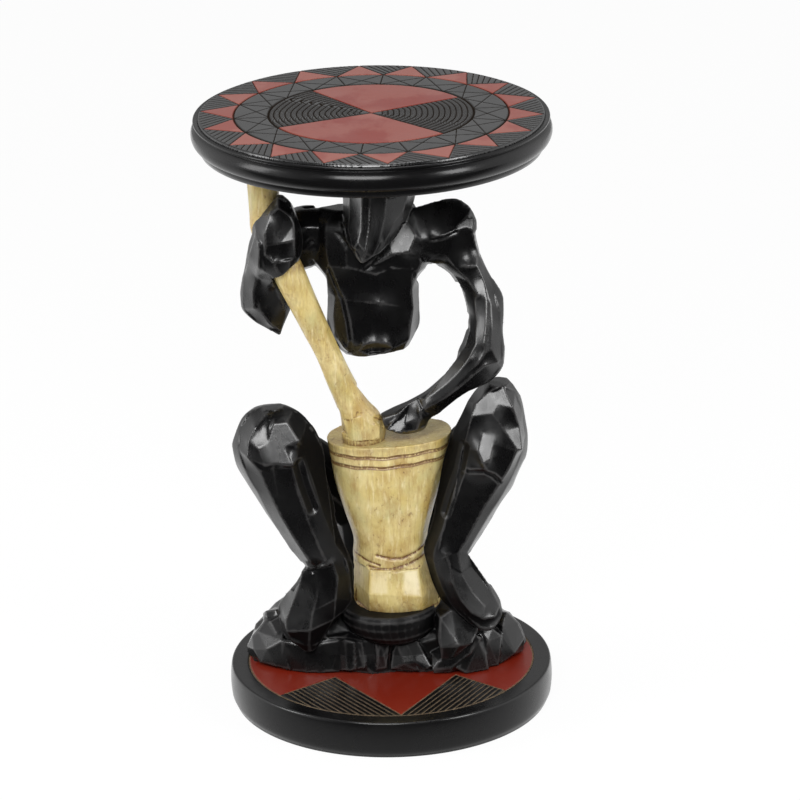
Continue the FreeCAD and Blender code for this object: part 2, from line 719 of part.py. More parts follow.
# The left forearm starts on the cut end of the left upper arm, so the two meet face to face.
elbow_ring = limb_rings(left_upper_arm_station_shares[-1:], "upper_arm", arm_section_shares)
left_forearm_rings = elbow_ring + limb_rings(left_forearm_station_shares, "forearm", arm_section_shares)
left_forearm_blank = feature("left_forearm_blank", facet_solid(left_forearm_rings))
raised_blank = limb("raised_blank", right_forearm_station_shares, "raised_forearm", arm_section_shares)
fist_blank = limb("fist_blank", fist_station_shares, "fist", arm_section_shares)
right_forearm_blank = doc.addObject("Part::Fuse", "right_forearm_blank")
right_forearm_blank.Base = raised_blank
right_forearm_blank.Tool = fist_blank
right_shin_blank = limb("right_shin_blank", right_shin_station_shares, "shin", leg_section_shares, 1)
left_shin_blank = limb("left_shin_blank", left_shin_station_shares, "shin", leg_section_shares, -1)
right_thigh_blank = limb("right_thigh_blank", right_thigh_station_shares, "thigh", arm_section_shares)
left_thigh_blank = limb("left_thigh_blank", left_thigh_station_shares, "thigh", arm_section_shares)
hips_blank = limb("hips_blank", hips_station_shares, "hips", hips_section_shares)

pestle_round = oval_section_shares(10, 1)
pestle_rings = [
    station_ring(station, length("pestle_radius"), length("pestle_radius"), pestle_round, 1)
    for station in pestle_station_shares
]
pestle_blank = feature("pestle_blank", facet_solid(pestle_rings))

# Mortar: two vee grooves lie one band and two bands below the rim
mortar_squareness_share = 1.25
mortar_oval = oval_section_shares(14, mortar_squareness_share)
groove_stations = []
mortar_throat, mortar_rim = mortar_station_shares[-2:]
rim_span = (mortar_rim[2] - mortar_throat[2]) * carving_height
for bands in (2, 1):
    for offset, inset in ((-0.5, 0), (0, 1), (0.5, 0)):
        drop = bands * length("mortar_band_width") - offset * length("mortar_groove_width")
        share = 1 - drop / rim_span
        station = [low + (high - low) * share for low, high in zip(mortar_throat, mortar_rim)]
        station[3] = station[3] - inset * length("mortar_groove_depth") / length("mortar_half_width")
        station[4] = station[4] - inset * length("mortar_groove_depth") / length("mortar_half_depth")
        groove_stations.append(tuple(station))
mortar_stations = mortar_station_shares[:-1] + groove_stations + [mortar_rim]
mortar_blank = limb("mortar_blank", mortar_stations, "mortar", mortar_oval)

# Rock: level rings round its own centre
rock_rings = []
for level in [[(1, 0)] * len(rock_outline_shares)] + rock_level_shares:
    rock_rings.append([
        FreeCAD.Vector(
            length("rock_shift_x") + across * out * length("rock_half_width"),
            length("rock_shift_y") + deep * out * length("rock_half_depth"),
            length("base_thickness") + rise * length("rock_height"),
        )
        for (across, deep), (out, rise) in zip(rock_outline_shares, level)
    ])
rock_blank = feature("rock_blank", facet_solid(rock_rings))

# Fitting: each piece is pared to meet the one that it is glued to, then bored
head = pare("head", head_blank, top_bores + [neck_bore])
pestle = pare("pestle", pestle_blank, [mortar_blank, pestle_bore])
mortar = pare("mortar", mortar_blank, [mortar_bore])
torso = pare(
    "torso", torso_blank, [head_blank, pestle_blank, neck_bore, shoulder["left"][1], shoulder["right"][1]],
)
right_forearm = pare("right_forearm", right_forearm_blank, [pestle_blank, right_elbow[1]])
left_upper_arm = pare(
    "left_upper_arm", left_upper_arm_blank, [torso_blank, head_blank, shoulder["left"][1], left_elbow[1]],
)
right_upper_arm = pare(
    "right_upper_arm",
    right_upper_arm_blank,
    [torso_blank, head_blank, right_forearm_blank, pestle_blank, shoulder["right"][1], right_elbow[1]],
)
left_forearm = pare("left_forearm", left_forearm_blank, [mortar_blank, pestle_blank, left_elbow[1]])
left_shin = pare(
    "left_shin", left_shin_blank, [left_forearm_blank, mortar_blank, knee["left"][1], foot["left"][1]],
)
right_shin = pare("right_shin", right_shin_blank, [mortar_blank, knee["right"][1], foot["right"][1]])
hips = pare("hips", hips_blank, [mortar_blank, hip["left"][1], hip["right"][1], seat_bore])
left_thigh = pare(
    "left_thigh",
    left_thigh_blank,
    [left_shin_blank, mortar_blank, hips_blank, left_forearm_blank, knee["left"][1], hip["left"][1]],
)
right_thigh = pare(
    "right_thigh",
    right_thigh_blank,
    [right_shin_blank, mortar_blank, hips_blank, knee["right"][1], hip["right"][1]],
)
rock = pare(
    "rock",
    rock_blank,
    [left_shin_blank, right_shin_blank, mortar_blank, hips_blank, foot["left"][1], foot["right"][1]]
    + [seat_bore, mortar_bore] + pilot_holes,
)


def group(label, members):
    compound = doc.addObject("Part::Compound", f"{label}_group")
    compound.Links = members
    return compound


nodes = {
    "top_board": top_board,
    "head": head,
    "torso": torso,
    "left_upper_arm": left_upper_arm,
    "right_upper_arm": right_upper_arm,
    "left_forearm": left_forearm,
    "right_forearm": right_forearm,
    "pestle": pestle,
    "mortar": mortar,
    "hips": hips,
    "left_thigh": left_thigh,
    "right_thigh": right_thigh,
    "left_shin": left_shin,
    "right_shin": right_shin,
    "rock": rock,
    "base_board": base_board,
    "top_dowels": group("top_dowels", top_pins),
    "pestle_dowel": pestle_pin,
    "neck_dowel": neck_pin,
    "shoulder_dowels": group("shoulder_dowels", [shoulder["left"][0], shoulder["right"][0]]),
    "elbow_dowels": group("elbow_dowels", [left_elbow[0], right_elbow[0]]),
    "hip_dowels": group("hip_dowels", [hip["left"][0], hip["right"][0]]),
    "knee_dowels": group("knee_dowels", [knee["left"][0], knee["right"][0]]),
    "foot_dowels": group("foot_dowels", [foot["left"][0], foot["right"][0]]),
    "seat_dowel": seat_pin,
    "mortar_dowel": mortar_pin,
    "base_screws": group("base_screws", screws),
}
for label, item in nodes.items():
    item.Label = label
doc.recompute()

for item in doc.Objects:
    if "Invalid" in item.State or "Error" in item.State:
        raise RuntimeError(f"{item.Label} did not compute: {item.State}")
for label, item in nodes.items():
    if item.Shape.isNull() or not item.Shape.isValid():
        raise RuntimeError(f"{label} has no valid shape")

os.makedirs("parts", exist_ok=True)
for label, item in nodes.items():
    item.Shape.exportStep(f"parts/{label}.step")
    print(label, len(item.Shape.Solids), "solid", round(item.Shape.Volume), "mm3")
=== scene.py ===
import bmesh
import bpy
import math
import numpy as np
from mathutils import Matrix, Vector
from mathutils.bvhtree import BVHTree
from mathutils.geometry import delaunay_2d_cdt


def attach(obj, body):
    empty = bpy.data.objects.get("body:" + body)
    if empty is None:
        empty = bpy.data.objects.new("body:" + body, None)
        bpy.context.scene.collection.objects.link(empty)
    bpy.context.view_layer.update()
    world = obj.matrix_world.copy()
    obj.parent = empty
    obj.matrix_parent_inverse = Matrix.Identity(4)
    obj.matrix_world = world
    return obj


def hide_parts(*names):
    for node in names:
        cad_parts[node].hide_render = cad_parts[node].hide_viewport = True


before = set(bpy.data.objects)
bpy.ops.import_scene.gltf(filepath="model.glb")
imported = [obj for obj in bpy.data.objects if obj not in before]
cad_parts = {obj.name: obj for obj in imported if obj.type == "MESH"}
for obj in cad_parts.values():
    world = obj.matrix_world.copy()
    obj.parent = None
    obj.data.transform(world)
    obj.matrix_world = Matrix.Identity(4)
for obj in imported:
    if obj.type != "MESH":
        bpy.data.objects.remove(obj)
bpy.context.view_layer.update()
print("frame loaded")

# Lengths are in metres. Carved pieces are placed by shares of the space between the boards.
space = {"halfWidth": 0.125, "halfDepth": 0.050, "height": 0.470, "floor": 0.033, "mortarX": 0.0105}


def place(shares):
    x, y, z = shares[:3]
    return np.array([x * space["halfWidth"], y * space["halfDepth"], space["floor"] + z * space["height"]])


def unit(values):
    return np.clip(values, 0, 1)


# Mesh helpers

def makeObject(name, vertices, faces):
    mesh = bpy.data.meshes.new(name)
    mesh.from_pydata([tuple(v) for v in vertices], [], [tuple(f) for f in faces])
    mesh.update()
    piece = bpy.data.objects.new(name, mesh)
    bpy.context.scene.collection.objects.link(piece)
    return piece


def coordinates(mesh):
    flat = np.empty(len(mesh.vertices) * 3, np.float32)
    mesh.vertices.foreach_get("co", flat)
    return flat.reshape(-1, 3).astype(float)


def normals(mesh):
    flat = np.empty(len(mesh.vertices) * 3, np.float32)
    mesh.vertex_normals.foreach_get("vector", flat)
    return flat.reshape(-1, 3).astype(float)


def setCoordinates(mesh, points):
    mesh.vertices.foreach_set("co", points.astype(np.float32).ravel())
    mesh.update()


def edgesOf(mesh):
    flat = np.empty(len(mesh.edges) * 2, np.int32)
    mesh.edges.foreach_get("vertices", flat)
    return flat.reshape(-1, 2)


def neighbourMean(values, edges):
    count = len(values)
    ends = np.concatenate([edges[:, 0], edges[:, 1]])
    others = np.concatenate([edges[:, 1], edges[:, 0]])
    degree = np.maximum(np.bincount(ends, minlength=count), 1)
    if values.ndim == 1:
        return np.bincount(ends, values[others], count) / degree
    return np.stack([np.bincount(ends, values[others, k], count) / degree for k in range(values.shape[1])], 1)


def relax(mesh, rounds, share=0.5):
    points = coordinates(mesh)
    edges = edgesOf(mesh)
    for _ in range(rounds):
        points = points * (1 - share) + neighbourMean(points, edges) * share
    setCoordinates(mesh, points)


def storeValue(mesh, name, values):
    layer = mesh.attributes.new(name, "FLOAT", "POINT")
    layer.data.foreach_set("value", values.astype(np.float32))


def storeRidgeWearAndHighlight(mesh, reach, strength):
    # Above zero on ridges and below zero in hollows, from how far a point stands off its neighbours. On black paint
    # the ridges turn lighter, partly as worn paint and partly as a painted highlight.
    points = coordinates(mesh)
    edges = edgesOf(mesh)
    smooth = points
    for _ in range(reach):
        smooth = neighbourMean(smooth, edges)
    stand = np.sum((points - smooth) * normals(mesh), 1)
    storeValue(mesh, "ridge", np.clip(stand * strength, -1, 1))


def storeShelter(mesh, sides):
    # Places turned towards the mortar or down to the rock, where no cloth reaches to polish them.
    points, facing = coordinates(mesh), normals(mesh)
    toMortar = np.stack([space["mortarX"] - points[:, 0], -points[:, 1]], 1)
    away = np.linalg.norm(toMortar, axis=1)
    turned = (facing[:, :2] * toMortar).sum(1) / np.maximum(away, 1e-6)
    near = unit((sides["reach"] - away) / 0.03) * unit((sides["top"] - points[:, 2]) / 0.02)
    low = unit((sides["foot"] - points[:, 2]) / 0.03) * unit((sides["facingUp"] - facing[:, 2]) / 0.3)
    storeValue(mesh, "shelter", np.maximum(near * unit((turned - 0.05) / 0.4), low))


def shadeSmooth(mesh):
    mesh.polygons.foreach_set("use_smooth", np.ones(len(mesh.polygons), bool))


# Lofts through stations of (x, y, z, width, depth, lean), all shares but the lean in degrees

def smoothStations(stations, perSpan):
    rows = np.array(stations, float)
    padded = np.vstack([2 * rows[0] - rows[1], rows, 2 * rows[-1] - rows[-2]])
    out = []
    for k in range(len(rows) - 1):
        a, b, c, d = padded[k:k + 4]
        for t in np.arange(perSpan) / perSpan:
            bend = (2 * a - 5 * b + 4 * c - d) * t ** 2 + (3 * b - a - 3 * c + d) * t ** 3
            out.append(0.5 * (2 * b + (c - a) * t + bend))
    out.append(rows[-1])
    out = np.array(out)
    out[:, 3:5] = np.maximum(out[:, 3:5], 0.04)
    return out


def bowedSection(corners, bow, perSide):
    corners = np.array(corners, float)
    out = []
    for a, b in zip(corners, np.roll(corners, -1, 0)):
        side = b - a
        outward = np.array([side[1], -side[0]])
        for t in np.arange(perSide) / perSide:
            out.append(a + side * t + outward * bow * 4 * t * (1 - t))
    return np.array(out)


def ovalSection(count, squareness):
    angle = 2 * np.pi * (np.arange(count) + 0.5) / count
    power = 1 / squareness
    across = np.sign(np.cos(angle)) * np.abs(np.cos(angle)) ** power
    deep = np.sign(np.sin(angle)) * np.abs(np.sin(angle)) ** power
    return np.stack([across, deep], 1)


def ringFaces(rings, split=False):
    count = len(rings[0])
    faces = []
    for k in range(len(rings) - 1):
        for j in range(count):
            n = (j + 1) % count
            a, b, c, d = k * count + j, k * count + n, (k + 1) * count + n, (k + 1) * count + j
            faces.extend([(a, b, c), (a, c, d)] if split else [(a, b, c, d)])
    return faces


def closedRings(rings, split=False):
    # The bands between the rings, with both ends closed to a middle point.
    count = len(rings[0])
    vertices = np.vstack(rings + [rings[0].mean(0), rings[-1].mean(0)])
    faces = ringFaces(rings, split)
    last = (len(rings) - 1) * count
    for j in range(count):
        n = (j + 1) % count
        faces.append((len(vertices) - 2, n, j))
        faces.append((len(vertices) - 1, last + j, last + n))
    return vertices, faces


def loft(stations, section, halfWidth, halfDepth, side=1, perSpan=6):
    rings = []
    for row in smoothStations(stations, perSpan):
        lean = math.radians(row[5])
        across = np.array([math.cos(lean), 0, math.sin(lean)]) * side * halfWidth * row[3]
        deep = np.array([0, halfDepth * row[4], 0])
        rings.append(place(row) + np.outer(section[:, 0], across) + np.outer(section[:, 1], deep))
    return closedRings(rings)


def joined(parts):
    vertices, faces, start = [], [], 0
    for points, polygons in parts:
        vertices.append(points)
        faces.extend([[i + start for i in polygon] for polygon in polygons])
        start += len(points)
    return np.vstack(vertices), faces


def skinOver(piece, voxel):
    remesh = piece.modifiers.new("skin", "REMESH")
    remesh.mode = "VOXEL"
    remesh.voxel_size = voxel
    remesh.adaptivity = 0
    shown = piece.evaluated_get(bpy.context.evaluated_depsgraph_get())
    skin = bpy.data.meshes.new_from_object(shown)
    skin.name = piece.name
    piece.modifiers.clear()
    piece.data = skin
    shadeSmooth(skin)


def turnOutwards(mesh):
    work = bmesh.new()
    work.from_mesh(mesh)
    bmesh.ops.recalc_face_normals(work, faces=work.faces)
    work.to_mesh(mesh)
    work.free()


def fused(name, parts, voxel):
    # One closed skin round all the parts.
    piece = makeObject(name, *joined(parts))
    turnOutwards(piece.data)
    skinOver(piece, voxel)
    return piece


knife = {"wobble": 0.05, "deepest": 0.004, "facing": 0.25, "evenOut": 6}


def knifeCuts(mesh, cuts, keep=None):
    # Evenly spread shallow bowls, in a shuffled order that is the same every time. What stands
    # above a bowl is pared down to it.
    random = np.random.default_rng(cuts["seed"])
    reach = cuts["reach"]
    points = coordinates(mesh)
    edges = edgesOf(mesh)
    facing = normals(mesh)
    for _ in range(knife["evenOut"]):
        facing = neighbourMean(facing, edges)
    facing /= np.maximum(np.linalg.norm(facing, axis=1), 1e-9)[:, None]
    start = points.copy()
    cells = {}
    for index, cell in enumerate(map(tuple, (start // reach).astype(int))):
        cells.setdefault(cell, []).append(index)
    cells = {cell: np.array(members) for cell, members in cells.items()}
    around = [(a, b, c) for a in (-1, 0, 1) for b in (-1, 0, 1) for c in (-1, 0, 1)]
    free = np.ones(len(points), bool) if keep is None else keep(start, facing)
    for index in random.permutation(len(points)):
        if not free[index]:
            continue
        cell = (start[index] // reach).astype(int)
        near = np.concatenate([cells[key] for key in (tuple(cell + step) for step in around) if key in cells])
        free[near[np.sum((start[near] - start[index]) ** 2, 1) < cuts["spacing"] ** 2]] = False
        tilt = facing[index] + random.normal(0, knife["wobble"], 3)
        tilt /= np.linalg.norm(tilt)
        offset = points[near] - start[index]
        distance = np.sum(offset ** 2, 1)
        height = offset @ tilt + random.uniform(*cuts["depth"]) - distance / (2 * cuts["bowl"])
        cut = (height > 0) & (height < knife["deepest"]) & (distance < reach ** 2)
        cut &= facing[near] @ tilt > knife["facing"]
        points[near[cut]] -= np.outer(height[cut], tilt)
    setCoordinates(mesh, points)


def lineDistance(x, y, start, end):
    ax, ay = start
    bx, by = end
    dx, dy = bx - ax, by - ay
    t = unit(((x - ax) * dx + (y - ay) * dy) / (dx * dx + dy * dy))
    return np.hypot(x - ax - t * dx, y - ay - t * dy)


def meanValueShares(x, y, polygon):
    # Smooth weights of a polygon's corners at each point; they run straight along its sides.
    count = len(polygon)
    dx = polygon[:, 0][:, None] - x
    dy = polygon[:, 1][:, None] - y
    reach = np.maximum(np.hypot(dx, dy), 1e-9)
    half = np.empty((count, len(x)))
    for k in range(count):
        n = (k + 1) % count
        cross = dx[k] * dy[n] - dx[n] * dy[k]
        dot = dx[k] * dx[n] + dy[k] * dy[n]
        half[k] = np.tan(np.arctan2(cross, dot) / 2)
    weights = (np.roll(half, 1, 0) + half) / reach
    total = weights.sum(0)
    return weights / np.where(np.abs(total) < 1e-12, 1e-12, total)


def insidePolygon(x, y, polygon):
    inside = np.zeros(len(x), bool)
    for (ax, ay), (bx, by) in zip(polygon, np.roll(polygon, -1, 0)):
        crosses = (ay > y) != (by > y)
        at = ax + (y - ay) * (bx - ax) / (by - ay if by != ay else 1e-12)
        inside ^= crosses & (x < at)
    return inside


def skinTree(mesh):
    work = bmesh.new()
    work.from_mesh(mesh)
    tree = BVHTree.FromBMesh(work)
    work.free()
    return tree


def partTree(parts):
    vertices, faces = joined(parts)
    return BVHTree.FromPolygons([tuple(v) for v in vertices], faces)


def onFront(tree, x, z, inwardX, inwardZ):
    # A point of the skin seen from the front; one just off its edge is drawn inwards.
    for step in range(12):
        share = step * 0.04
        x2, z2 = x + (inwardX - x) * share, z + (inwardZ - z) * share
        hit = tree.ray_cast(Vector((x2, -0.5, z2)), Vector((0, 1, 0)))
        if hit[0] is not None:
            return x2, z2, hit[0].y
    return None


def borderDistance(x, z, border):
    clear = np.full(len(x), 1.0)
    for a, b in border:
        clear = np.minimum(clear, lineDistance(x, z, a, b))
    return clear


# How thick a facet plate is, and how far round it the skin is sunk behind it
plateForm = {
    "grid": 0.002, "edge": 0.0004, "middle": 0.009, "bevel": 0.007, "sink": 0.3, "window": 0.0055, "probe": 0.00025,
}


def plateDepth(clear):
    return plateForm["edge"] + plateForm["middle"] * unit(clear / plateForm["bevel"])


def frontBox(points, low, high):
    # Which points lie between two corners of (x, z), seen from the front.
    return (points[:, 0] > low[0]) & (points[:, 0] < high[0]) & (points[:, 2] > low[1]) & (points[:, 2] < high[1])


def facetPlate(tree, corners, facets, flats):
    # A closed plate whose front spans the facets. Corners are (x, z, rise) in millimetres on the
    # front, and the rise is how far one stands off the limb's own skin. The flats name facets that
    # are truly flat, with their slopes sideways and upwards and how deep they sink in.
    spots = {}
    for facet in facets:
        keys = facet.split()
        middle = np.mean([corners[key][:2] for key in keys], 0) / 1000
        for key in keys:
            if key not in spots:
                x, z, rise = np.array(corners[key]) / 1000
                found = onFront(tree, x, z, *middle)
                spots[key] = None if found is None else (found[0], found[1], found[2] - rise)
    for facet, (sideways, upwards, sink) in flats.items():
        keys = facet.split()
        middle = np.mean([corners[key][:2] for key in keys], 0) / 1000
        found = onFront(tree, middle[0], middle[1], *middle)
        for key in keys:
            x, z = np.array(corners[key][:2]) / 1000
            spots[key] = (x, z, found[2] + sink / 1000 + sideways * (x - middle[0]) + upwards * (z - middle[1]))
    grid = plateForm["grid"]
    index, front, triangles, patches = {}, [], [], []
    for facet in facets:
        ring = np.array([spots[key] for key in facet.split() if spots[key] is not None])
        if len(ring) < 3:
            continue
        area = np.sum(ring[:, 0] * np.roll(ring[:, 1], -1) - np.roll(ring[:, 0], -1) * ring[:, 1])
        if area < 0:
            ring = ring[::-1]
        polygon, levels = ring[:, :2], ring[:, 2]
        patches.append((polygon, levels))
        low, high = polygon.min(0), polygon.max(0)
        x, z = np.meshgrid(np.arange(low[0], high[0], grid), np.arange(low[1], high[1], grid))
        x, z = x.ravel(), z.ravel()
        inner = insidePolygon(x, z, polygon)
        x, z = x[inner], z[inner]
        inner = borderDistance(x, z, list(zip(polygon, np.roll(polygon, -1, 0)))) > grid * 0.5
        x, z = x[inner], z[inner]
        spread = np.vstack([polygon, np.stack([x, z], 1)])
        found = delaunay_2d_cdt([Vector(p) for p in spread], [], [list(range(len(polygon)))], 1, 1e-7)
        flat = np.array([v[:] for v in found[0]])
        depth = levels @ meanValueShares(flat[:, 0], flat[:, 1], polygon)
        for k, sources in enumerate(found[3]):
            if sources and min(sources) < len(polygon):
                flat[k], depth[k] = polygon[min(sources)], levels[min(sources)]
        numbers = []
        for (px, pz), py in zip(flat, depth):
            key = (round(px, 7), round(pz, 7))
            if key not in index:
                index[key] = len(front)
                front.append((px, py, pz))
            numbers.append(index[key])
        triangles.extend([tuple(numbers[i] for i in face) for face in found[2]])
    used = {}
    for triangle in triangles:
        for a, b in zip(triangle, triangle[1:] + triangle[:1]):
            used.setdefault(frozenset((a, b)), []).append((a, b))
    front = np.array(front)
    rim = [pairs[0] for pairs in used.values() if len(pairs) == 1]
    border = [(front[a][[0, 2]], front[b][[0, 2]]) for a, b in rim]
    back = front.copy()
    back[:, 1] += plateDepth(borderDistance(front[:, 0], front[:, 2], border))
    count = len(front)
    faces = [tuple(t) for t in triangles] + [tuple(i + count for i in reversed(t)) for t in triangles]
    faces += [(b, a, a + count, b + count) for a, b in rim]
    return (np.vstack([front, back]), faces), patches, border


def carveFacets(piece, voxel, groups):
    # Sinks the skin a little behind every plate, then draws one skin over all.
    points = coordinates(piece.data)
    facing = normals(piece.data)
    step = plateForm["probe"]
    plates = []
    for tree, corners, facets, flats in groups:
        plate, patches, border = facetPlate(tree, corners, facets, flats)
        plates.append(plate)
        for polygon, levels in patches:
            low, high = polygon.min(0), polygon.max(0)
            near = np.where(frontBox(points, low, high) & (facing[:, 1] < 0.1))[0]
            near = near[insidePolygon(points[near, 0], points[near, 2], polygon)]
            if not len(near):
                continue
            x, z = points[near, 0], points[near, 2]
            target = levels @ meanValueShares(x, z, polygon)
            slopeX = (levels @ meanValueShares(x + step, z, polygon) - target) / step
            slopeZ = (levels @ meanValueShares(x, z + step, polygon) - target) / step
            window = plateForm["window"] * np.sqrt(1 + np.clip(slopeX ** 2 + slopeZ ** 2, 0, 12))
            sunk = target + plateForm["sink"] * plateDepth(borderDistance(x, z, border))
            level = points[near, 1]
            behind = (level < sunk) & (level > target - window)
            points[near[behind], 1] = sunk[behind]
    setCoordinates(piece.data, points)
    work = bmesh.new()
    work.from_mesh(piece.data)
    for plate in plates:
        extra = makeObject(piece.name + "Plate", *plate)
        turnOutwards(extra.data)
        work.from_mesh(extra.data)
        bpy.data.objects.remove(extra)
    work.to_mesh(piece.data)
    work.free()
    skinOver(piece, voxel)


creaseReach = 0.016  # what lies further behind the front is left alone


def carveCreases(mesh, creases):
    # Vee cuts along lines of (x, z) in millimetres on the front, each with its width and depth.
    points = coordinates(mesh)
    facing = normals(mesh)
    tree = skinTree(mesh)
    for width, deep, line in creases:
        width, deep = width / 1000, deep / 1000
        spots = np.array(line, float) / 1000
        low, high = spots.min(0) - width, spots.max(0) + width
        near = np.where(frontBox(points, low, high) & (facing[:, 1] < -0.02))[0]
        away = borderDistance(points[near, 0], points[near, 2], list(zip(spots, spots[1:])))
        front = np.array([(onFront(tree, x, z, *spots.mean(0)) or (0, 0, 0))[2] for x, z in spots])
        level = np.interp(points[near, 2], *zip(*sorted(zip(spots[:, 1], front)))) if len(spots) > 1 else front
        share = unit(1 - away / width) * (np.abs(points[near, 1] - level) < creaseReach)
        points[near, 1] += deep * share
    setCoordinates(mesh, points)


# Materials

class Nodes:
    def __init__(self, tree):
        self.tree = tree

    def link(self, source, target):
        self.tree.links.new(source, target)

    def add(self, kind, *sources, **values):
        # Sources are linked to the first sockets in turn.
        node = self.tree.nodes.new(kind)
        for key, value in values.items():
            setattr(node, key, value)
        for source, socket in zip(sources, node.inputs):
            self.link(source, socket)
        return node

    def span(self, value, low, high, toLow=0, toHigh=1, **form):
        node = self.add("ShaderNodeMapRange", value, **form)
        for name, level in (("From Min", low), ("From Max", high), ("To Min", toLow), ("To Max", toHigh)):
            node.inputs[name].default_value = level
        return node.outputs["Result"]

    def math(self, operation, first, second):
        node = self.add("ShaderNodeMath", operation=operation)
        for socket, value in zip(node.inputs, (first, second)):
            if isinstance(value, (int, float)):
                socket.default_value = value
            else:
                self.link(value, socket)
        return node.outputs["Value"]


class Paint(Nodes):
    def __init__(self, name):
        self.material = bpy.data.materials.new(name)
        self.material.use_nodes = True
        super().__init__(self.material.node_tree)
        self.shader = self.tree.nodes["Principled BSDF"]
        self.place = self.add("ShaderNodeTexCoord").outputs["Object"]

    def noise(self, scale, detail=4, stretch=(1, 1, 1), roughness=0.55):
        mapping = self.add("ShaderNodeMapping", self.place)
        mapping.inputs["Scale"].default_value = stretch
        node = self.add("ShaderNodeTexNoise", mapping.outputs["Vector"])
        for name, value in (("Scale", scale), ("Detail", detail), ("Roughness", roughness)):
            node.inputs[name].default_value = value
        return node.outputs["Fac"]

    def mix(self, share, first, second):
        node = self.add("ShaderNodeMix", data_type="RGBA")
        for socket, value in ((node.inputs["Factor"], share), (node.inputs[6], first), (node.inputs[7], second)):
            if isinstance(value, tuple):
                socket.default_value = value + (1,)
            elif isinstance(value, (int, float)):
                socket.default_value = value
            else:
                self.link(value, socket)
        return node.outputs[2]

    def attribute(self, name):
        return self.add("ShaderNodeAttribute", attribute_name=name).outputs["Fac"]

    def bump(self, height, strength, distance, after=None):
        node = self.add("ShaderNodeBump")
        node.inputs["Strength"].default_value = strength
        node.inputs["Distance"].default_value = distance
        self.link(height, node.inputs["Height"])
        if after is not None:
            self.link(after, node.inputs["Normal"])
        return node.outputs["Normal"]

    def finish(self, colour, roughness, normal, **fixed):
        self.link(colour, self.shader.inputs["Base Color"])
        self.link(roughness, self.shader.inputs["Roughness"])
        self.link(normal, self.shader.inputs["Normal"])
        for name, value in fixed.items():
            self.shader.inputs[name.replace("_", " ")].default_value = value
        return self.material


# The lighter ridge colour is partly worn paint and partly a painted highlight.
blackFinish = {
    "colour": (0.0028, 0.0027, 0.0029), "rubbedAndHighlight": (0.034, 0.033, 0.033),
    "roughness": 0.27, "gloss": 0.42, "coat": 0.18, "shelteredGloss": 0.06,
}


def blackPaint(name, values):
    # Black paint a little lighter on the ridges, partly worn by rubbing and partly a painted highlight, with brush
    # and knife marks.
    n = Paint(name)
    clouds = n.noise(38, 5)
    grain = n.noise(150, 6, (1, 1, 0.35))
    # Painted highlight and worn paint: the ridges are mixed towards the lighter colour.
    wearAndHighlight = n.math("MULTIPLY", n.span(n.attribute("ridge"), 0.25, 0.9), n.span(clouds, 0.35, 0.6, 0.25, 1))
    colour = n.mix(wearAndHighlight, values["colour"], values["rubbedAndHighlight"])
    roughness = n.math("ADD", n.span(clouds, 0.3, 0.7, values["roughness"] - 0.07, values["roughness"] + 0.09),
                       n.span(grain, 0.35, 0.65, -0.03, 0.04))
    shelter = n.attribute("shelter")
    roughness = n.math("ADD", roughness, n.math("MULTIPLY", shelter, 0.25))
    n.link(n.span(shelter, 0, 1, values["gloss"], values["shelteredGloss"]), n.shader.inputs["Specular IOR Level"])
    n.link(n.span(shelter, 0, 1, values["coat"], 0), n.shader.inputs["Coat Weight"])
    soft = n.bump(clouds, 0.25, 0.0012)
    normal = n.bump(grain, 0.22, 0.00035, soft)
    return n.finish(colour, roughness, normal, Coat_Roughness=0.14)


blackWood = blackPaint("blackCarvedPaint", blackFinish)

paleFinish = {
    "colour": (0.51, 0.39, 0.125), "light": (0.64, 0.53, 0.24), "rubbedAndHighlight": (0.76, 0.68, 0.42),
    "stain": (0.36, 0.225, 0.065), "brown": (0.15, 0.070, 0.022), "bareAndHighlight": (0.74, 0.65, 0.43),
    "grey": (0.42, 0.40, 0.19), "roughness": 0.36, "streaks": 0.6, "lineGap": 0.13,
}


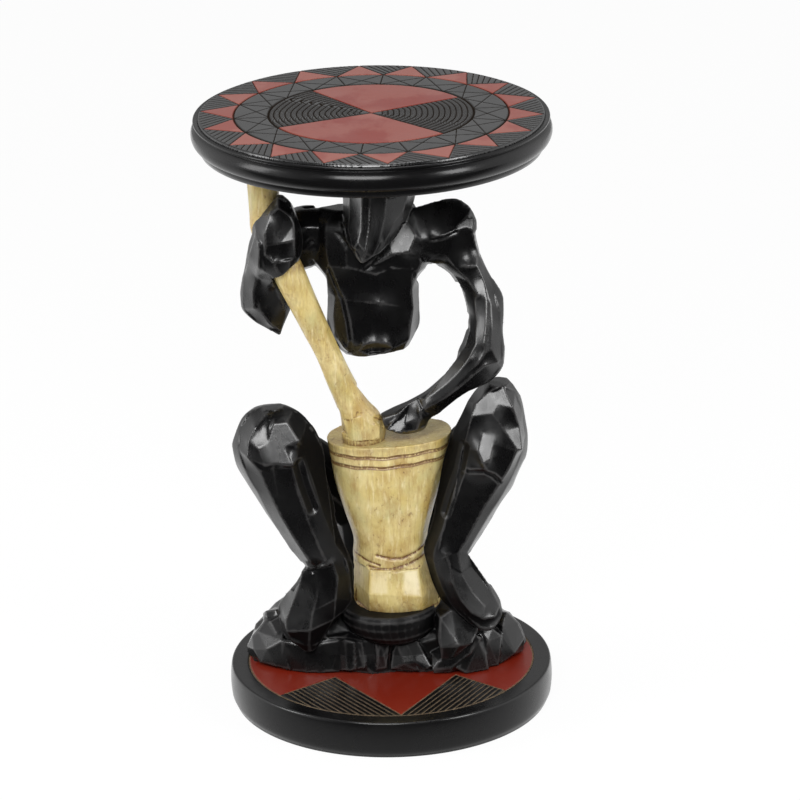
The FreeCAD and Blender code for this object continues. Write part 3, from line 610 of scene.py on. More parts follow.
def paleStain(name, values):
    # Cream stain over tool marks, paler on listed facets as worn stain and a painted highlight, and brown in the
    # hollows, where dirt is stored, and as painted shade down the mortar's left side.
    n = Paint(name)
    clouds = n.noise(42, 5)
    stains = n.noise(30, 8, (1.4, 1.4, 0.8), 0.68)
    streaks = n.noise(75, 6, (4.5, 4.5, 0.5), 0.62)
    marks = n.noise(120, 4, (3.0, 3.0, 0.35), 0.6)
    fine = n.noise(240, 5, (2.2, 2.2, 0.8))
    specks = n.noise(330, 3, (1, 1, 0.7), 0.6)
    base = n.mix(n.span(clouds, 0.38, 0.66), values["colour"], values["light"])
    base = n.mix(n.math("MULTIPLY", n.span(n.noise(27, 4), 0.52, 0.68), 0.55), base, values["grey"])
    stained = n.mix(n.math("MULTIPLY", n.span(stains, 0.47, 0.66), 0.85), base, values["stain"])
    streaked = n.mix(n.math("MULTIPLY", n.span(streaks, 0.50, 0.70), values["streaks"]), stained, values["stain"])
    rubbedAndHighlight = n.mix(n.math("MULTIPLY", n.span(marks, 0.55, 0.72), 0.55), streaked, values["rubbedAndHighlight"])
    dots = n.math("MULTIPLY", n.span(specks, 0.59, 0.68), n.span(stains, 0.45, 0.60, 0.05, 0.75))
    streaked = n.mix(dots, rubbedAndHighlight, values["brown"])
    # Brown from the stored dirt and painted shade, and in the hollows.
    grimeAndShade = n.math("ADD", n.attribute("grimeAndShade"), n.math("MULTIPLY", n.span(n.attribute("ridge"), -0.2, -0.85), 0.8))
    broken = n.math("MULTIPLY", grimeAndShade, n.span(fine, 0.34, 0.56, 0.15, 1))
    # A pair of dark lines in each groove, with the pale ground between them
    drop = n.attribute("drop")
    for band in (1, 2):
        away = n.math("ABSOLUTE", n.math("SUBTRACT", drop, band), 0)
        line = n.span(n.math("ABSOLUTE", n.math("SUBTRACT", away, values["lineGap"]), 0), 0.03, 0.10, 0.95, 0)
        broken = n.math("MAXIMUM", broken, n.math("MULTIPLY", line, n.span(fine, 0.30, 0.45, 0.45, 1)))
    # Painted highlight and worn stain: the listed facets are mixed towards the pale colour.
    bareAndHighlight = n.math("MULTIPLY", n.attribute("rubbedAndHighlight"), n.span(stains, 0.38, 0.60, 1, 0.45))
    streaked = n.mix(bareAndHighlight, streaked, values["bareAndHighlight"])
    colour = n.mix(n.span(broken, 0, 1), streaked, values["brown"])
    roughness = n.span(clouds, 0.3, 0.7, values["roughness"] - 0.1, values["roughness"] + 0.1)
    normal = n.bump(fine, 0.25, 0.0004, n.bump(streaks, 0.45, 0.0009))
    return n.finish(colour, roughness, normal, Coat_Weight=0.25, Coat_Roughness=0.25)


paleWood = paleStain("paleCarvedStain", paleFinish)

boardFinish = {
    "black": (0.0036, 0.0035, 0.0037), "red": (0.155, 0.0110, 0.0035), "redPale": (0.205, 0.052, 0.036),
    "line": (0.17, 0.125, 0.080), "lineDark": (0.006, 0.004, 0.003),
    "roughness": 0.24, "gloss": 0.5, "coat": 0.3, "turned": -0.02, "dull": 0.6,
}


def boardPaint(name, values, dustShare, wornShare):
    # Black and red fields. The engraved lines are dull, with more or less pale dust left in them.
    n = Paint(name)
    clouds = n.noise(24, 6)
    patches = n.noise(20, 6, (1, 0.7, 1), 0.58)
    fine = n.noise(210, 5)
    worn = n.math("ADD", n.math("MULTIPLY", n.span(patches, 0.53, 0.46), wornShare), n.attribute("worn"))
    worn = n.span(worn, 0, 1)
    red = n.mix(worn, values["red"], values["redPale"])
    field = n.mix(n.attribute("red"), values["black"], red)
    line = n.attribute("line")
    dust = n.math("MULTIPLY", line, n.span(fine, 0.30, 0.60, dustShare * 0.45, dustShare))
    dark = n.mix(n.math("MULTIPLY", line, 0.85), field, values["lineDark"])
    colour = n.mix(dust, dark, values["line"])
    level = n.math("ADD", n.span(clouds, 0.3, 0.7, values["roughness"] - 0.07, values["roughness"] + 0.09),
                   n.math("MULTIPLY", n.attribute("red"), 0.12))
    level = n.math("ADD", level, n.math("MULTIPLY", line, 0.5))
    level = n.math("ADD", level, n.math("MULTIPLY", n.attribute("turned"), values["turned"]))
    dull = n.math("MAXIMUM", n.span(line, 0, 0.8), n.math("MULTIPLY", n.attribute("turned"), values["dull"]))
    n.link(n.span(dull, 0, 1, values["gloss"], 0.02), n.shader.inputs["Specular IOR Level"])
    n.link(n.span(dull, 0, 1, values["coat"], 0), n.shader.inputs["Coat Weight"])
    normal = n.bump(fine, 0.16, 0.0003, n.bump(clouds, 0.18, 0.0014))
    return n.finish(colour, level, normal, Coat_Roughness=0.16)


# Figure: every limb is a loft, fused into one carved skin

figure = {
    "voxel": 0.00095,
    "bow": 0.02,
    "cuts": {"seed": 7, "spacing": 0.021, "depth": (0.0005, 0.0013), "bowl": 0.14, "reach": 0.022},
    "shelter": {"reach": 0.12, "top": 0.29, "foot": 0.120, "facingUp": 0.30},
    "wearAndHighlight": 9000,
}
headSection = [
    (-1, -0.35), (-0.74, -0.80), (-0.35, -1), (0.25, -0.94), (0.75, -0.52),
    (1, 0.10), (0.80, 0.80), (0.20, 1), (-0.60, 0.90), (-1, 0.35),
]
torsoSection = [
    (-1, -0.15), (-0.72, -0.80), (-0.42, -1), (0.35, -0.92), (0.82, -0.62),
    (1, 0.10), (0.70, 0.85), (0, 1), (-0.70, 0.85), (-1, 0.30),
]
armSection = [
    (-1, 0), (-0.68, -0.72), (0, -1), (0.55, -0.78),
    (1, -0.10), (0.70, 0.75), (0, 1), (-0.70, 0.70),
]
legSection = [
    (-1, 0.12), (-0.64, -0.80), (0.10, -1), (0.62, -0.55),
    (1, 0.30), (0.60, 0.95), (-0.10, 1), (-0.75, 0.80),
]
hipsSection = [
    (-0.30, -1), (0.30, -1), (0.76, -0.72), (1, -0.05), (0.88, 0.55), (0.48, 0.98),
    (0, 0.80), (-0.48, 0.98), (-0.88, 0.55), (-1, -0.05), (-0.76, -0.72),
]
limbs = [
    # head: a plain wedge with no features
    (headSection, 0.0315, 0.0335, 1, [
        (0.056, 0.06, 1.000, 0.98, 0.93, 0),
        (0.052, -0.02, 0.930, 1.00, 0.985, 0),
        (0.032, -0.13, 0.881, 0.92, 1.00, 0),
        (0.000, -0.31, 0.851, 0.76, 0.88, 2),
        (-0.028, -0.55, 0.828, 0.49, 0.58, 2),
        (-0.064, -0.80, 0.811, 0.13, 0.18, 0),
    ]),
    # torso
    (torsoSection, 0.056, 0.026, 1, [
        (0.016, -0.02, 0.613, 0.49, 0.58, 7),
        (-0.008, -0.04, 0.638, 0.64, 0.85, 4),
        (-0.008, -0.06, 0.668, 0.71, 0.96, 0),
        (-0.006, -0.06, 0.721, 0.70, 1.00, 0),
        (-0.008, -0.06, 0.755, 0.72, 1.00, 0),
        (-0.016, -0.04, 0.774, 0.86, 0.96, 0),
        (0.000, 0.00, 0.832, 1.00, 0.92, 0),
        (0.000, 0.04, 0.866, 0.965, 0.81, 0),
        (0.000, 0.08, 0.883, 0.79, 0.46, 0),
    ]),
    # left arm
    (armSection, 0.033, 0.021, 1, [
        (0.264, 0.10, 0.819, 0.79, 0.86, 92),
        (0.424, 0.10, 0.832, 0.89, 0.95, 84),
        (0.552, 0.06, 0.826, 1.00, 1.00, 78),
        (0.624, 0.00, 0.801, 0.89, 0.95, 71),
        (0.656, -0.08, 0.766, 0.68, 0.86, 69),
        (0.704, -0.20, 0.732, 0.60, 0.81, 60),
        (0.750, -0.36, 0.694, 0.63, 0.81, 39),
        (0.728, -0.52, 0.652, 0.57, 0.81, 17),
        (0.716, -0.62, 0.620, 0.64, 0.81, -15),
        (0.664, -0.62, 0.592, 0.54, 0.81, -29),
        (0.560, -0.60, 0.571, 0.40, 0.70, -40),
        (0.464, -0.57, 0.549, 0.355, 0.62, -46),
        (0.388, -0.53, 0.530, 0.36, 0.57, -57),
        (0.324, -0.49, 0.518, 0.36, 0.57, -62),
        (0.262, -0.44, 0.500, 0.455, 0.62, -60),
        (0.148, -0.38, 0.488, 0.40, 0.62, -70),
        (0.048, -0.34, 0.485, 0.24, 0.42, -72),
    ]),
    # right upper arm
    (ovalSection(9, 1.05), 0.033, 0.021, 1, [
        (-0.264, 0.10, 0.819, 0.79, 0.86, 90),
        (-0.400, 0.10, 0.827, 0.83, 0.95, 90),
        (-0.528, 0.14, 0.819, 0.88, 0.95, 94),
        (-0.648, 0.20, 0.794, 0.83, 0.90, 109),
        (-0.728, 0.20, 0.752, 0.68, 0.81, 125),
        (-0.752, 0.08, 0.723, 0.45, 0.62, 131),
    ]),
    # right forearm
    (armSection, 0.0225, 0.020, 1, [
        (-0.652, -0.08, 0.649, 0.13, 0.20, 0),
        (-0.712, -0.08, 0.668, 0.53, 0.60, -7),
        (-0.744, -0.06, 0.690, 0.89, 0.85, -6),
        (-0.740, -0.08, 0.722, 1.00, 1.00, -3),
        (-0.724, -0.20, 0.773, 0.91, 1.00, -4),
        (-0.712, -0.34, 0.819, 0.76, 0.90, -3),
        (-0.672, -0.44, 0.866, 0.44, 0.60, 0),
    ]),
    # fist
    (armSection, 0.0235, 0.025, 1, [
        (-0.624, -0.56, 0.788, 0.66, 0.68, 25),
        (-0.664, -0.54, 0.813, 0.99, 0.92, 10),
        (-0.656, -0.54, 0.848, 0.98, 1.00, 4),
        (-0.644, -0.56, 0.882, 0.79, 0.88, -2),
        (-0.616, -0.58, 0.911, 0.43, 0.56, 0),
        (-0.620, -0.60, 0.930, 0.11, 0.16, 0),
    ]),
    # right shin and foot
    (legSection, 0.040, 0.029, 1, [
        (-0.708, -0.36, 0.519, 0.23, 0.28, 0),
        (-0.712, -0.40, 0.503, 0.60, 0.69, -1),
        (-0.694, -0.46, 0.467, 0.89, 0.93, -1),
        (-0.684, -0.48, 0.433, 0.99, 1.00, -3),
        (-0.656, -0.48, 0.392, 0.985, 0.93, -8),
        (-0.584, -0.48, 0.339, 0.89, 0.79, -10),
        (-0.500, -0.48, 0.283, 0.745, 0.69, -9),
        (-0.412, -0.48, 0.236, 0.64, 0.59, -4),
        (-0.360, -0.48, 0.210, 0.55, 0.55, 3),
        (-0.376, -0.50, 0.175, 0.625, 0.62, -2),
        (-0.420, -0.52, 0.146, 0.76, 0.69, -3),
        (-0.468, -0.56, 0.122, 0.76, 0.72, -2),
        (-0.512, -0.62, 0.081, 0.51, 0.59, 4),
        (-0.496, -0.68, 0.049, 0.15, 0.21, 0),
    ]),
    # left shin and foot
    (legSection, 0.040, 0.029, -1, [
        (0.838, -0.44, 0.564, 0.24, 0.41, -1),
        (0.820, -0.44, 0.538, 0.505, 0.72, 2),
        (0.796, -0.48, 0.496, 0.70, 0.90, 3),
        (0.768, -0.50, 0.452, 0.85, 1.00, 4),
        (0.734, -0.50, 0.405, 0.91, 0.97, 6),
        (0.668, -0.50, 0.351, 0.84, 0.83, 7),
        (0.584, -0.50, 0.297, 0.71, 0.69, 8),
        (0.504, -0.50, 0.248, 0.61, 0.59, 8),
        (0.480, -0.50, 0.220, 0.505, 0.52, 9),
        (0.516, -0.52, 0.189, 0.52, 0.55, 11),
        (0.596, -0.54, 0.152, 0.62, 0.62, 7),
        (0.668, -0.58, 0.120, 0.59, 0.59, 0),
        (0.716, -0.68, 0.096, 0.34, 0.41, -2),
        (0.744, -0.74, 0.086, 0.09, 0.14, 0),
    ]),
    # thighs
    (armSection, 0.028, 0.028, 1, [
        (-0.704, -0.20, 0.449, 0.71, 0.64, 40),
        (-0.584, 0.24, 0.406, 0.86, 0.86, 42),
        (-0.456, 0.60, 0.362, 0.93, 0.96, 43),
        (-0.336, 0.84, 0.317, 1.00, 1.00, 45),
        (-0.200, 0.94, 0.274, 0.93, 0.89, 45),
        (-0.064, 0.94, 0.232, 0.71, 0.64, 45),
    ]),
    (armSection, 0.028, 0.028, 1, [
        (0.832, -0.24, 0.479, 0.71, 0.64, -40),
        (0.720, 0.20, 0.430, 0.82, 0.86, -42),
        (0.600, 0.56, 0.379, 0.89, 0.96, -43),
        (0.464, 0.82, 0.330, 1.00, 1.00, -45),
        (0.336, 0.94, 0.283, 0.93, 0.89, -45),
        (0.208, 0.94, 0.238, 0.71, 0.64, -45),
    ]),
    # hips
    (hipsSection, 0.056, 0.030, 1, [
        (0.080, 0.90, 0.108, 0.70, 0.66, 0),
        (0.080, 0.98, 0.150, 0.86, 0.92, 0),
        (0.080, 1.02, 0.210, 0.97, 1.00, 0),
        (0.080, 1.00, 0.270, 1.00, 0.95, 0),
        (0.080, 0.90, 0.330, 0.86, 0.74, 0),
        (0.080, 0.80, 0.376, 0.55, 0.42, 0),
    ]),
]
limbParts = [
    loft(stations, bowedSection(section, figure["bow"], 5), halfWidth, halfDepth, side)
    for section, halfWidth, halfDepth, side, stations in limbs
]
carvedFigure = fused("carvedFigure", limbParts, figure["voxel"])

# Facets seen from the front, with corners (x, z, rise) in millimetres
rightLegCorners = {
    "o0": (-84, 284, -0.5), "o1": (-97, 282, -0.5), "o2": (-110, 273, -0.5), "o3": (-118, 260, 0),
    "o4": (-119, 244, 0), "o5": (-113, 226, 0), "o6": (-104, 207, 0), "o7": (-95, 183, 0), "o8": (-85, 160, 0),
    "o9": (-76, 146, 0), "o10": (-68, 134, 0), "r1": (-80, 277, 0), "r2": (-95, 274, 0), "r3": (-104, 266, 0.5),
    "r4": (-110, 254, 0.5), "r5": (-111, 242, 1.5), "r6": (-101, 230, 2), "r7": (-93, 208, 2),
    "r8": (-84, 186, 2), "r9": (-73, 164, 2), "r10": (-61, 142, 1.5), "t1": (-72, 273, 0), "t2": (-60, 262, 0),
    "t3": (-50, 246, 0), "c1": (-88, 269, 0), "c2": (-76, 270, 0), "c3": (-66, 255, 0), "c4": (-79, 250, 0),
    "c5": (-72, 236, 0), "c6": (-88, 237, 0), "c7": (-93, 254, 0), "d1": (-101, 250, 0), "d2": (-96, 236, 1.5),
    "e1": (-89, 233, 0.5), "e2": (-73, 232, 0.5), "m1": (-86, 208, 0.5), "m3": (-69, 211, 0.5),
    "m4": (-60, 180, 0.5), "m5": (-50, 152, 0.5), "m6": (-45, 140, 0), "m7": (-55, 133, 0.5),
    "h1": (-64, 247, -2), "h2": (-46, 230, 0), "h3": (-38, 200, 0), "h4": (-32, 172, 0), "h5": (-37, 152, 0),
    "h6": (-47, 182, 0.5), "h7": (-56, 216, 0.5), "f1": (-67, 131, 0.5), "f3": (-40, 138, 0),
    "f4": (-26, 123, -0.5), "a1": (-70, 119, 1), "a2": (-77, 102, 1.5), "a3": (-82, 90, 1.5),
    "a4": (-82, 80, 1), "b1": (-80, 109, -1), "b2": (-90, 94, -2), "b3": (-91, 82, -3), "g1": (-54, 122, 2.5),
    "g2": (-54, 110, 3), "g3": (-58, 97, 3), "g4": (-61, 81, 2.5), "i1": (-38, 106, 0), "i2": (-36, 125, 0.5),
    "k1": (-25, 98, 0), "k2": (-32, 89, 0.5), "k3": (-40, 86, 1.5), "j1": (-62, 64, 0.5), "j2": (-52, 64, 0.5),
    "j3": (-79, 72, 0.5), "f5": (-30, 140, 0),
}
rightLegFacets = [
    "o0 o1 o2 o3 o4 r5 r4 r3 r2 r1", "o4 o5 o6 o7 o8 o9 o10 r10 r9 r8 r7 r6 r5", "r1 r2 r3 r4 d1 c7 c1 c2 t1",
    "r4 r5 d2 d1", "d1 d2 c6 c7", "c7 c6 c5 c4 c3 c2 c1", "t1 c2 c3 h1 t2", "c3 c4 c5 h1", "r5 r6 e1 c6 d2",
    "c6 e1 e2 c5", "r6 r7 m1 e1", "e1 m1 m3 e2", "r7 r8 r9 r10 m7 m6 m5 m4 m3 m1", "t2 h1 h7 h2 t3",
    "h7 h6 h5 h4 h3 h2", "c5 e2 m3 m4 m5 m6 h5 h6 h7 h1", "f1 m7 g1 g2 g3 g4 a4 a3 a2 a1",
    "a1 a2 a3 a4 b3 b2 b1", "m7 f3 i2 i1 g3 g2 g1", "f3 f4 k1 i1 i2", "i1 k1 k2 k3", "g3 i1 k3 g4",
    "a4 g4 j1 j3", "g4 k3 j2 j1", "m6 h5 f5 f4 f3",
]
leftLegCorners = {
    "L1": (99, 305, 0), "L2": (110, 301, 0), "L3": (119, 290, 0), "L4": (125, 272, 0), "L5": (127, 252, 0),
    "L6": (125, 240, 0), "L7": (118, 223, 0), "L8": (109, 205, 0), "L9": (99, 188, 0), "L10": (89, 170, 0),
    "L11": (81, 155, 0), "L12": (77, 146, 0), "n1": (95, 292, 0.5), "n2": (103, 283, 1.5),
    "n3": (117, 280, 1.5), "n4": (122, 263, 1.5), "n5": (124, 245, 1.5), "n6": (84, 283, 0),
    "n7": (80, 273, 0.5), "n8": (99, 276, 1.5), "n9": (109, 262, 1.5), "n10": (120, 245, 1.5),
    "q1": (91, 260, 1), "q2": (99, 251, 1.5), "q3": (96, 239, 2), "q4": (90, 237, 2), "q5": (86, 246, 1),
    "w1": (79, 226, 0), "w2": (93, 228, 1), "w3": (99, 223, 1), "w4": (105, 216, 1.5), "x1": (113, 229, 2.5),
    "x2": (105, 215, 2.5), "x3": (97, 202, 2.5), "x4": (90, 190, 2.5), "x5": (83, 175, 2.5), "x6": (76, 160, 2),
    "x7": (69, 149, 1.5), "y1": (70, 222, -1), "y2": (66, 200, -1), "y3": (60, 180, -1), "y4": (55, 162, -1),
    "y5": (52, 148, -0.5), "y8": (74, 245, 0), "z1": (58, 146, 1), "z3": (77, 144, 1.5), "A": (61, 136, 2),
    "B": (64, 120, 2.5), "C": (71, 105, 3), "D": (80, 94, 3), "E": (90, 88, 2.5), "F": (100, 88, 2),
    "G": (104, 93, 1.5), "H": (80, 131, 1.5), "I": (90, 117, 1.5), "J": (100, 102, 1.5), "M1": (71, 128, 0),
    "M2": (81, 110, -0.5), "M3": (91, 98, -0.5), "K0": (111, 86, 0), "K1": (107, 99, 0), "K2": (100, 113, 0),
    "K3": (86, 131, 0), "O0": (51, 139, 0), "O1": (56, 118, 0.5), "O2": (62, 105, 0.5), "O3": (72, 92, 0.5),
    "O4": (84, 81, 0.5), "O5": (97, 77, 0.5), "O6": (108, 83, 0.5),
}
leftLegFacets = [
    "n1 L1 L2 n3 n2", "L2 L3 n3", "n3 L3 L4 L5 L6 n5 n4", "n6 n1 n2 n8 n7", "n2 n3 n4 n9 n8", "n4 n5 n10 n9",
    "n8 n9 n10 q2 q1", "n7 n8 q1 q5 y8", "q1 q2 q3 q4 q5", "q2 n10 x1 x2 w4 w3 w2 q3", "q4 q3 w2",
    "y8 q5 q4 w2 w1 y1", "w1 w2 w3 w4 x2 x3 y2 y1", "y2 x3 x4 x5 y3", "y3 x5 x6 x7 z1 y5 y4",
    "n5 L6 L7 L8 L9 L10 L11 L12 z3 x7 x6 x5 x4 x3 x2 x1 n10", "z1 x7 M1 A", "x7 z3 H M1", "A M1 M2 B",
    "M1 H I M2", "B M2 C", "M2 M3 D C", "M2 I J M3", "D M3 E", "M3 J G F E", "z3 K3 K2 K1 K0 G J I H",
    "z1 A B C D E F G K0 O6 O5 O4 O3 O2 O1 O0",
]
armCorners = {
    "P1": (-99, 440, 0), "P2": (-105, 418, 0), "P3": (-110, 395, 0), "P4": (-112, 375, 0), "P5": (-112, 362, 0),
    "P6": (-100, 350, 0), "P7": (-88, 342, 0), "P8": (-80, 341, 0), "P9": (-76, 357, 0), "R1": (-96, 427, 1),
    "R2": (-97, 412, 2), "R3": (-100, 398, 2), "R4": (-103, 384, 2), "R5": (-103, 367, 2),
    "S1": (-92, 408, 0.5), "S2": (-96, 396, 0.5), "S3": (-99, 380, 0.5), "S4": (-98, 366, 1),
    "T1": (-86, 402, -1), "T2": (-84, 385, -1), "T3": (-79, 371, -1), "U1": (-90, 352, 0.5),
    "V1": (-77, 474, 0), "V2": (-86, 464, 0), "V3": (-95, 456, 0), "V4": (-99, 446, 0), "V5": (-99, 436, 0),
    "V6": (-70, 466, 0), "V7": (-65, 454, 0), "V8": (-62, 440, 0), "V9": (-61, 428, 0), "V10": (-64, 416, 0),
    "N1": (-79, 463, 0.5), "N2": (-69, 455, 0.5), "N3": (-66, 448, 0.5), "N4": (-77, 434, 1.5),
    "N5": (-91, 432, 1.5), "N6": (-91, 444, 1), "N7": (-87, 457, 0.5), "N8": (-66, 436, 1.5),
    "Z1": (-66, 418, 0.5), "Z3": (-84, 418, 1.5), "Z4": (-91, 424, 1), "a1": (31, 448, 0), "a2": (42, 456, 0),
    "a3": (58, 459, 0), "a4": (75, 456, 0), "a5": (83, 447, 0), "a6": (86, 433, 0), "b1": (48, 423, -0.5),
    "b2": (60, 427, 0), "b3": (70, 431, 0.5), "b4": (78, 434, 1.5), "b5": (85, 432, 0.5), "z2": (72, 436, 0.5),
    "z3": (80, 442, 0.5), "z4": (86, 441, 0.5), "c1": (33, 446, 0.5), "c2": (40, 426, 1), "d1": (10, 430, -0.5),
    "d2": (15, 440, -3), "d3": (28, 441, -3), "d4": (36, 430, 0), "d5": (30, 417, 3), "d6": (17, 415, 3),
    "y1": (0, 406, 0), "y2": (16, 402, 0.3), "y3": (33, 399, 0.3), "e1": (88, 413, 0.5), "e2": (88, 401, 1.5),
    "e3": (80, 402, 1), "e4": (69, 399, 0.5), "e5": (58, 412, 0), "e6": (44, 402, 0), "e7": (38, 410, 0),
    "r2": (93, 390, 2), "r3": (95, 375, 2.5), "r4": (94, 355, 2.5), "r5": (92, 341, 2.5), "r6": (88, 378, 1.5),
    "i1": (58, 397, 0), "i2": (68, 389, 0), "i3": (76, 375, 0), "i4": (80, 360, 0), "i5": (80, 346, 0),
    "i6": (76, 334, 0), "i7": (66, 319, 0), "i8": (56, 306, 0), "i9": (44, 294, 0), "m1": (80, 388, 1),
    "m2": (85, 372, 1.5), "m3": (86, 355, 1.5), "m4": (85, 338, 1.5), "o2": (94, 397, 0), "o3": (101, 380, 0),
    "o4": (107, 361, 0), "o5": (108, 342, 0), "o6": (108, 322, 0), "q2": (99, 372, 1.5), "q3": (100, 352, 1.5),
    "q4": (99, 335, 1.5), "q5": (104, 323, 1.5), "t2": (79, 327, 1.5), "t3": (69, 313, 1.5),
    "t4": (60, 303, 1.5), "t5": (50, 294, 1.5), "t6": (42, 288, 1.5), "v1": (93, 333, 2), "v2": (87, 325, 2),
    "v3": (77, 314, 2), "v4": (65, 300, 2), "v5": (53, 290, 2), "v6": (43, 284, 2), "u2": (92, 322, 2),
    "u3": (82, 313, 2), "u4": (72, 303, 2), "u5": (61, 293, 2), "u6": (50, 285, 2), "u7": (42, 280, 1.5),
    "w1": (107, 316, 0), "w2": (98, 305, 0), "w3": (90, 300, 0), "w4": (80, 295, 0), "w5": (70, 287, 0),
    "w6": (58, 276, 0), "w7": (47, 268, 0), "k2": (35, 286, 1), "k3": (37, 277, 2), "k4": (28, 281, 1),
    "k6": (24, 264, 2), "k7": (19, 256, 2), "g1": (14, 281, 0.5), "g2": (8, 259, 2), "g3": (-1, 256, 0.5),
    "g4": (0, 274, 0), "g5": (26, 272, 2), "g6": (13, 265, 1.5), "k10": (38, 271, 2), "k11": (34, 257, 1.5),
    "k12": (43, 262, 0),
}
fistFacets = [
    "P1 P2 P3 P4 P5 R5 R4 R3 R2 R1", "R1 R2 R3 R4 R5 S4 S3 S2 S1", "S1 S2 S3 S4 T3 T2 T1",
    "R5 P5 P6 P7 P8 U1 S4", "S4 U1 P8 P9 T3", "V1 V2 N7 N1", "V1 N1 N2 V7 V6", "V2 V3 V4 V5 N5 N6 N7",
    "N1 N2 N3 N4 N5 N6 N7", "N3 N8 N4", "N2 V7 V8 N8 N3", "N5 N4 N8 Z1 Z3 Z4", "N8 V8 V9 V10 Z1",
]
armFacets = [
    "a1 a2 a3 b2 b1 c2 c1", "a3 a4 a5 a6 z4 z3 z2 b3 b2", "b3 z2 z3 z4 b5 b4", "d1 d2 d3 d4 d5 d6",
    "d3 c1 c2 d4", "c2 b1 e7 d5 d4", "b1 b2 b3 b4 b5 e1 e2 e3 e4 e5", "b1 e5 e6 e7", "d6 d5 e7 y3 y2 y1",
    "d1 d6 y1", "e5 e4 m1 i2 i1 e6", "e3 e2 r2 r6 m1 e4", "r2 r3 r4 r5 m4 m3 m2 r6",
    "r6 m2 m3 m4 i5 i4 i3 i2 m1", "e1 o2 r2 e2", "r2 q2 q3 q4 v1 r5 r4 r3", "o2 o3 o4 q2 r2",
    "q2 o4 o5 o6 q5 q4 q3", "r5 v1 v2 v3 v4 v5 v6 t6 t5 t4 t3 t2 m4",
    "v1 q4 q5 u2 u3 u4 u5 u6 u7 v6 v5 v4 v3 v2", "m4 t2 t3 t4 t5 t6 i9 i8 i7 i6 i5",
    "q5 w1 w2 w3 w4 w5 w6 w7 u7 u6 u5 u4 u3 u2", "t6 v6 u7 k3 k2", "k2 k3 k10 k6 g5 k4", "g4 g1 g2 g3",
    "g1 k4 g5 g6 g2", "g6 g5 k6 k7 g2", "k6 k10 k11 k7", "u7 w7 k12 k10 k3", "k10 k12 k11",
]
bodyCorners = {
    "H1": (-26, 469, 0), "H2": (-26, 450, 0), "H3": (-25, 438, 0), "H4": (-21, 428, 0), "I1": (-19, 470, 1.5),
    "I2": (-20, 450, 1.5), "I3": (-21, 439, 1.5), "I4": (-18, 427, 1), "J1": (-9, 470, 2),
    "J2": (-10, 442, 2.5), "J3": (-13, 432, 2), "J4": (-16, 427, 1.5), "K1": (-2, 470, 2), "K2": (-3, 445, 3),
    "K3": (-7, 425, 3), "K4": (-9, 417, 1), "L1": (12, 468, 0), "L2": (10, 450, 0), "L3": (5, 432, 0.5),
    "L4": (-1, 420, 0.5), "M1": (29, 467, -1), "M2": (26, 453, 0.5), "M3": (18, 445, 0.5), "M4": (12, 434, 0.5),
    "M5": (6, 422, 0.5), "M6": (-3, 418, 0.5), "s1": (-41, 393, 0), "s2": (-40, 372, 0), "s3": (-41, 352, 0),
    "s4": (-36, 337, 0), "s5": (-29, 323, 0), "g1": (-38, 402, 0), "g2": (-33, 387, -1), "g3": (-27, 374, -1),
    "g4": (-23, 355, -1), "g5": (-21, 337, -1), "g6": (-22, 323, -1), "h1": (-33, 376, 1),
    "h2": (-35, 358, 1.5), "h3": (-34, 344, 1.5), "h4": (-27, 330, 1.5), "p1": (-24, 404, 0.2),
    "p2": (2, 398, 0.5), "p3": (20, 404, 0.2), "p4": (33, 397, 0), "n1": (5, 372, -0.3), "n2": (33, 363, 0),
    "n5": (31, 350, 0.3), "n6": (29, 334, 0.5), "e1": (37, 397, 0), "e2": (37, 380, 0), "e3": (39, 362, 0),
    "e4": (38, 345, 0), "e5": (33, 331, 0), "e6": (32, 380, 1), "b1": (-13, 328, 0), "b2": (-9, 335, 2),
    "b3": (0, 337, 2.5), "b4": (10, 335, 2), "b5": (15, 328, 0), "b6": (5, 323, -5), "b7": (-6, 323, -5),
}
headFacets = [
    "H1 H2 H3 H4 I4 I3 I2 I1", "I1 I2 I3 I4 J4 J3 J2 J1", "J1 J2 J3 K3 K2 K1", "J3 J4 I4 K4 K3",
    "K1 K2 K3 L4 L3 L2 L1", "K3 K4 M6 L4", "L1 L2 L3 L4 M6 M5 M4 M3 M2 M1",
]
bodyFacets = [
    "s1 s2 h1 g3 g2 g1", "h1 s2 s3 h2", "h2 s3 s4 h3", "h1 h2 h3 h4 g6 g5 g4 g3", "h3 s4 s5 g6 h4",
    "g1 g2 g3 n1 n2 e6 p4 p3 p2 p1", "g3 g4 g5 g6 b1 b2 b3 b4 b5 n6 n5 n2 n1", "p4 e6 n2 n5 n6 e5 e4 e3 e2 e1",
    "b1 b2 b3 b4 b5 b6 b7",
]
figureCreases = [
    # width and depth in millimetres, then the line
    (5.0, 3.0, [(-68, 234), (-63, 213), (-56, 190)]),
    (2.0, 1.2, [(-38, 402), (-33, 387), (-27, 374), (-23, 355), (-21, 337), (-22, 323)]),
    (4.5, 2.6, [(75, 246), (70, 222), (63, 200), (58, 182)]),
    (2.6, 1.6, [(78, 225), (91, 227), (99, 223), (105, 216)]),
    (1.8, 1.0, [(36, 286), (39, 280), (43, 274)]),
    (1.8, 1.0, [(49, 423), (60, 426), (70, 430)]),
]
# The front has facets instead, so the bowls leave it out.
knifeCuts(carvedFigure.data, figure["cuts"], lambda points, facing: facing[:, 1] > -0.35)
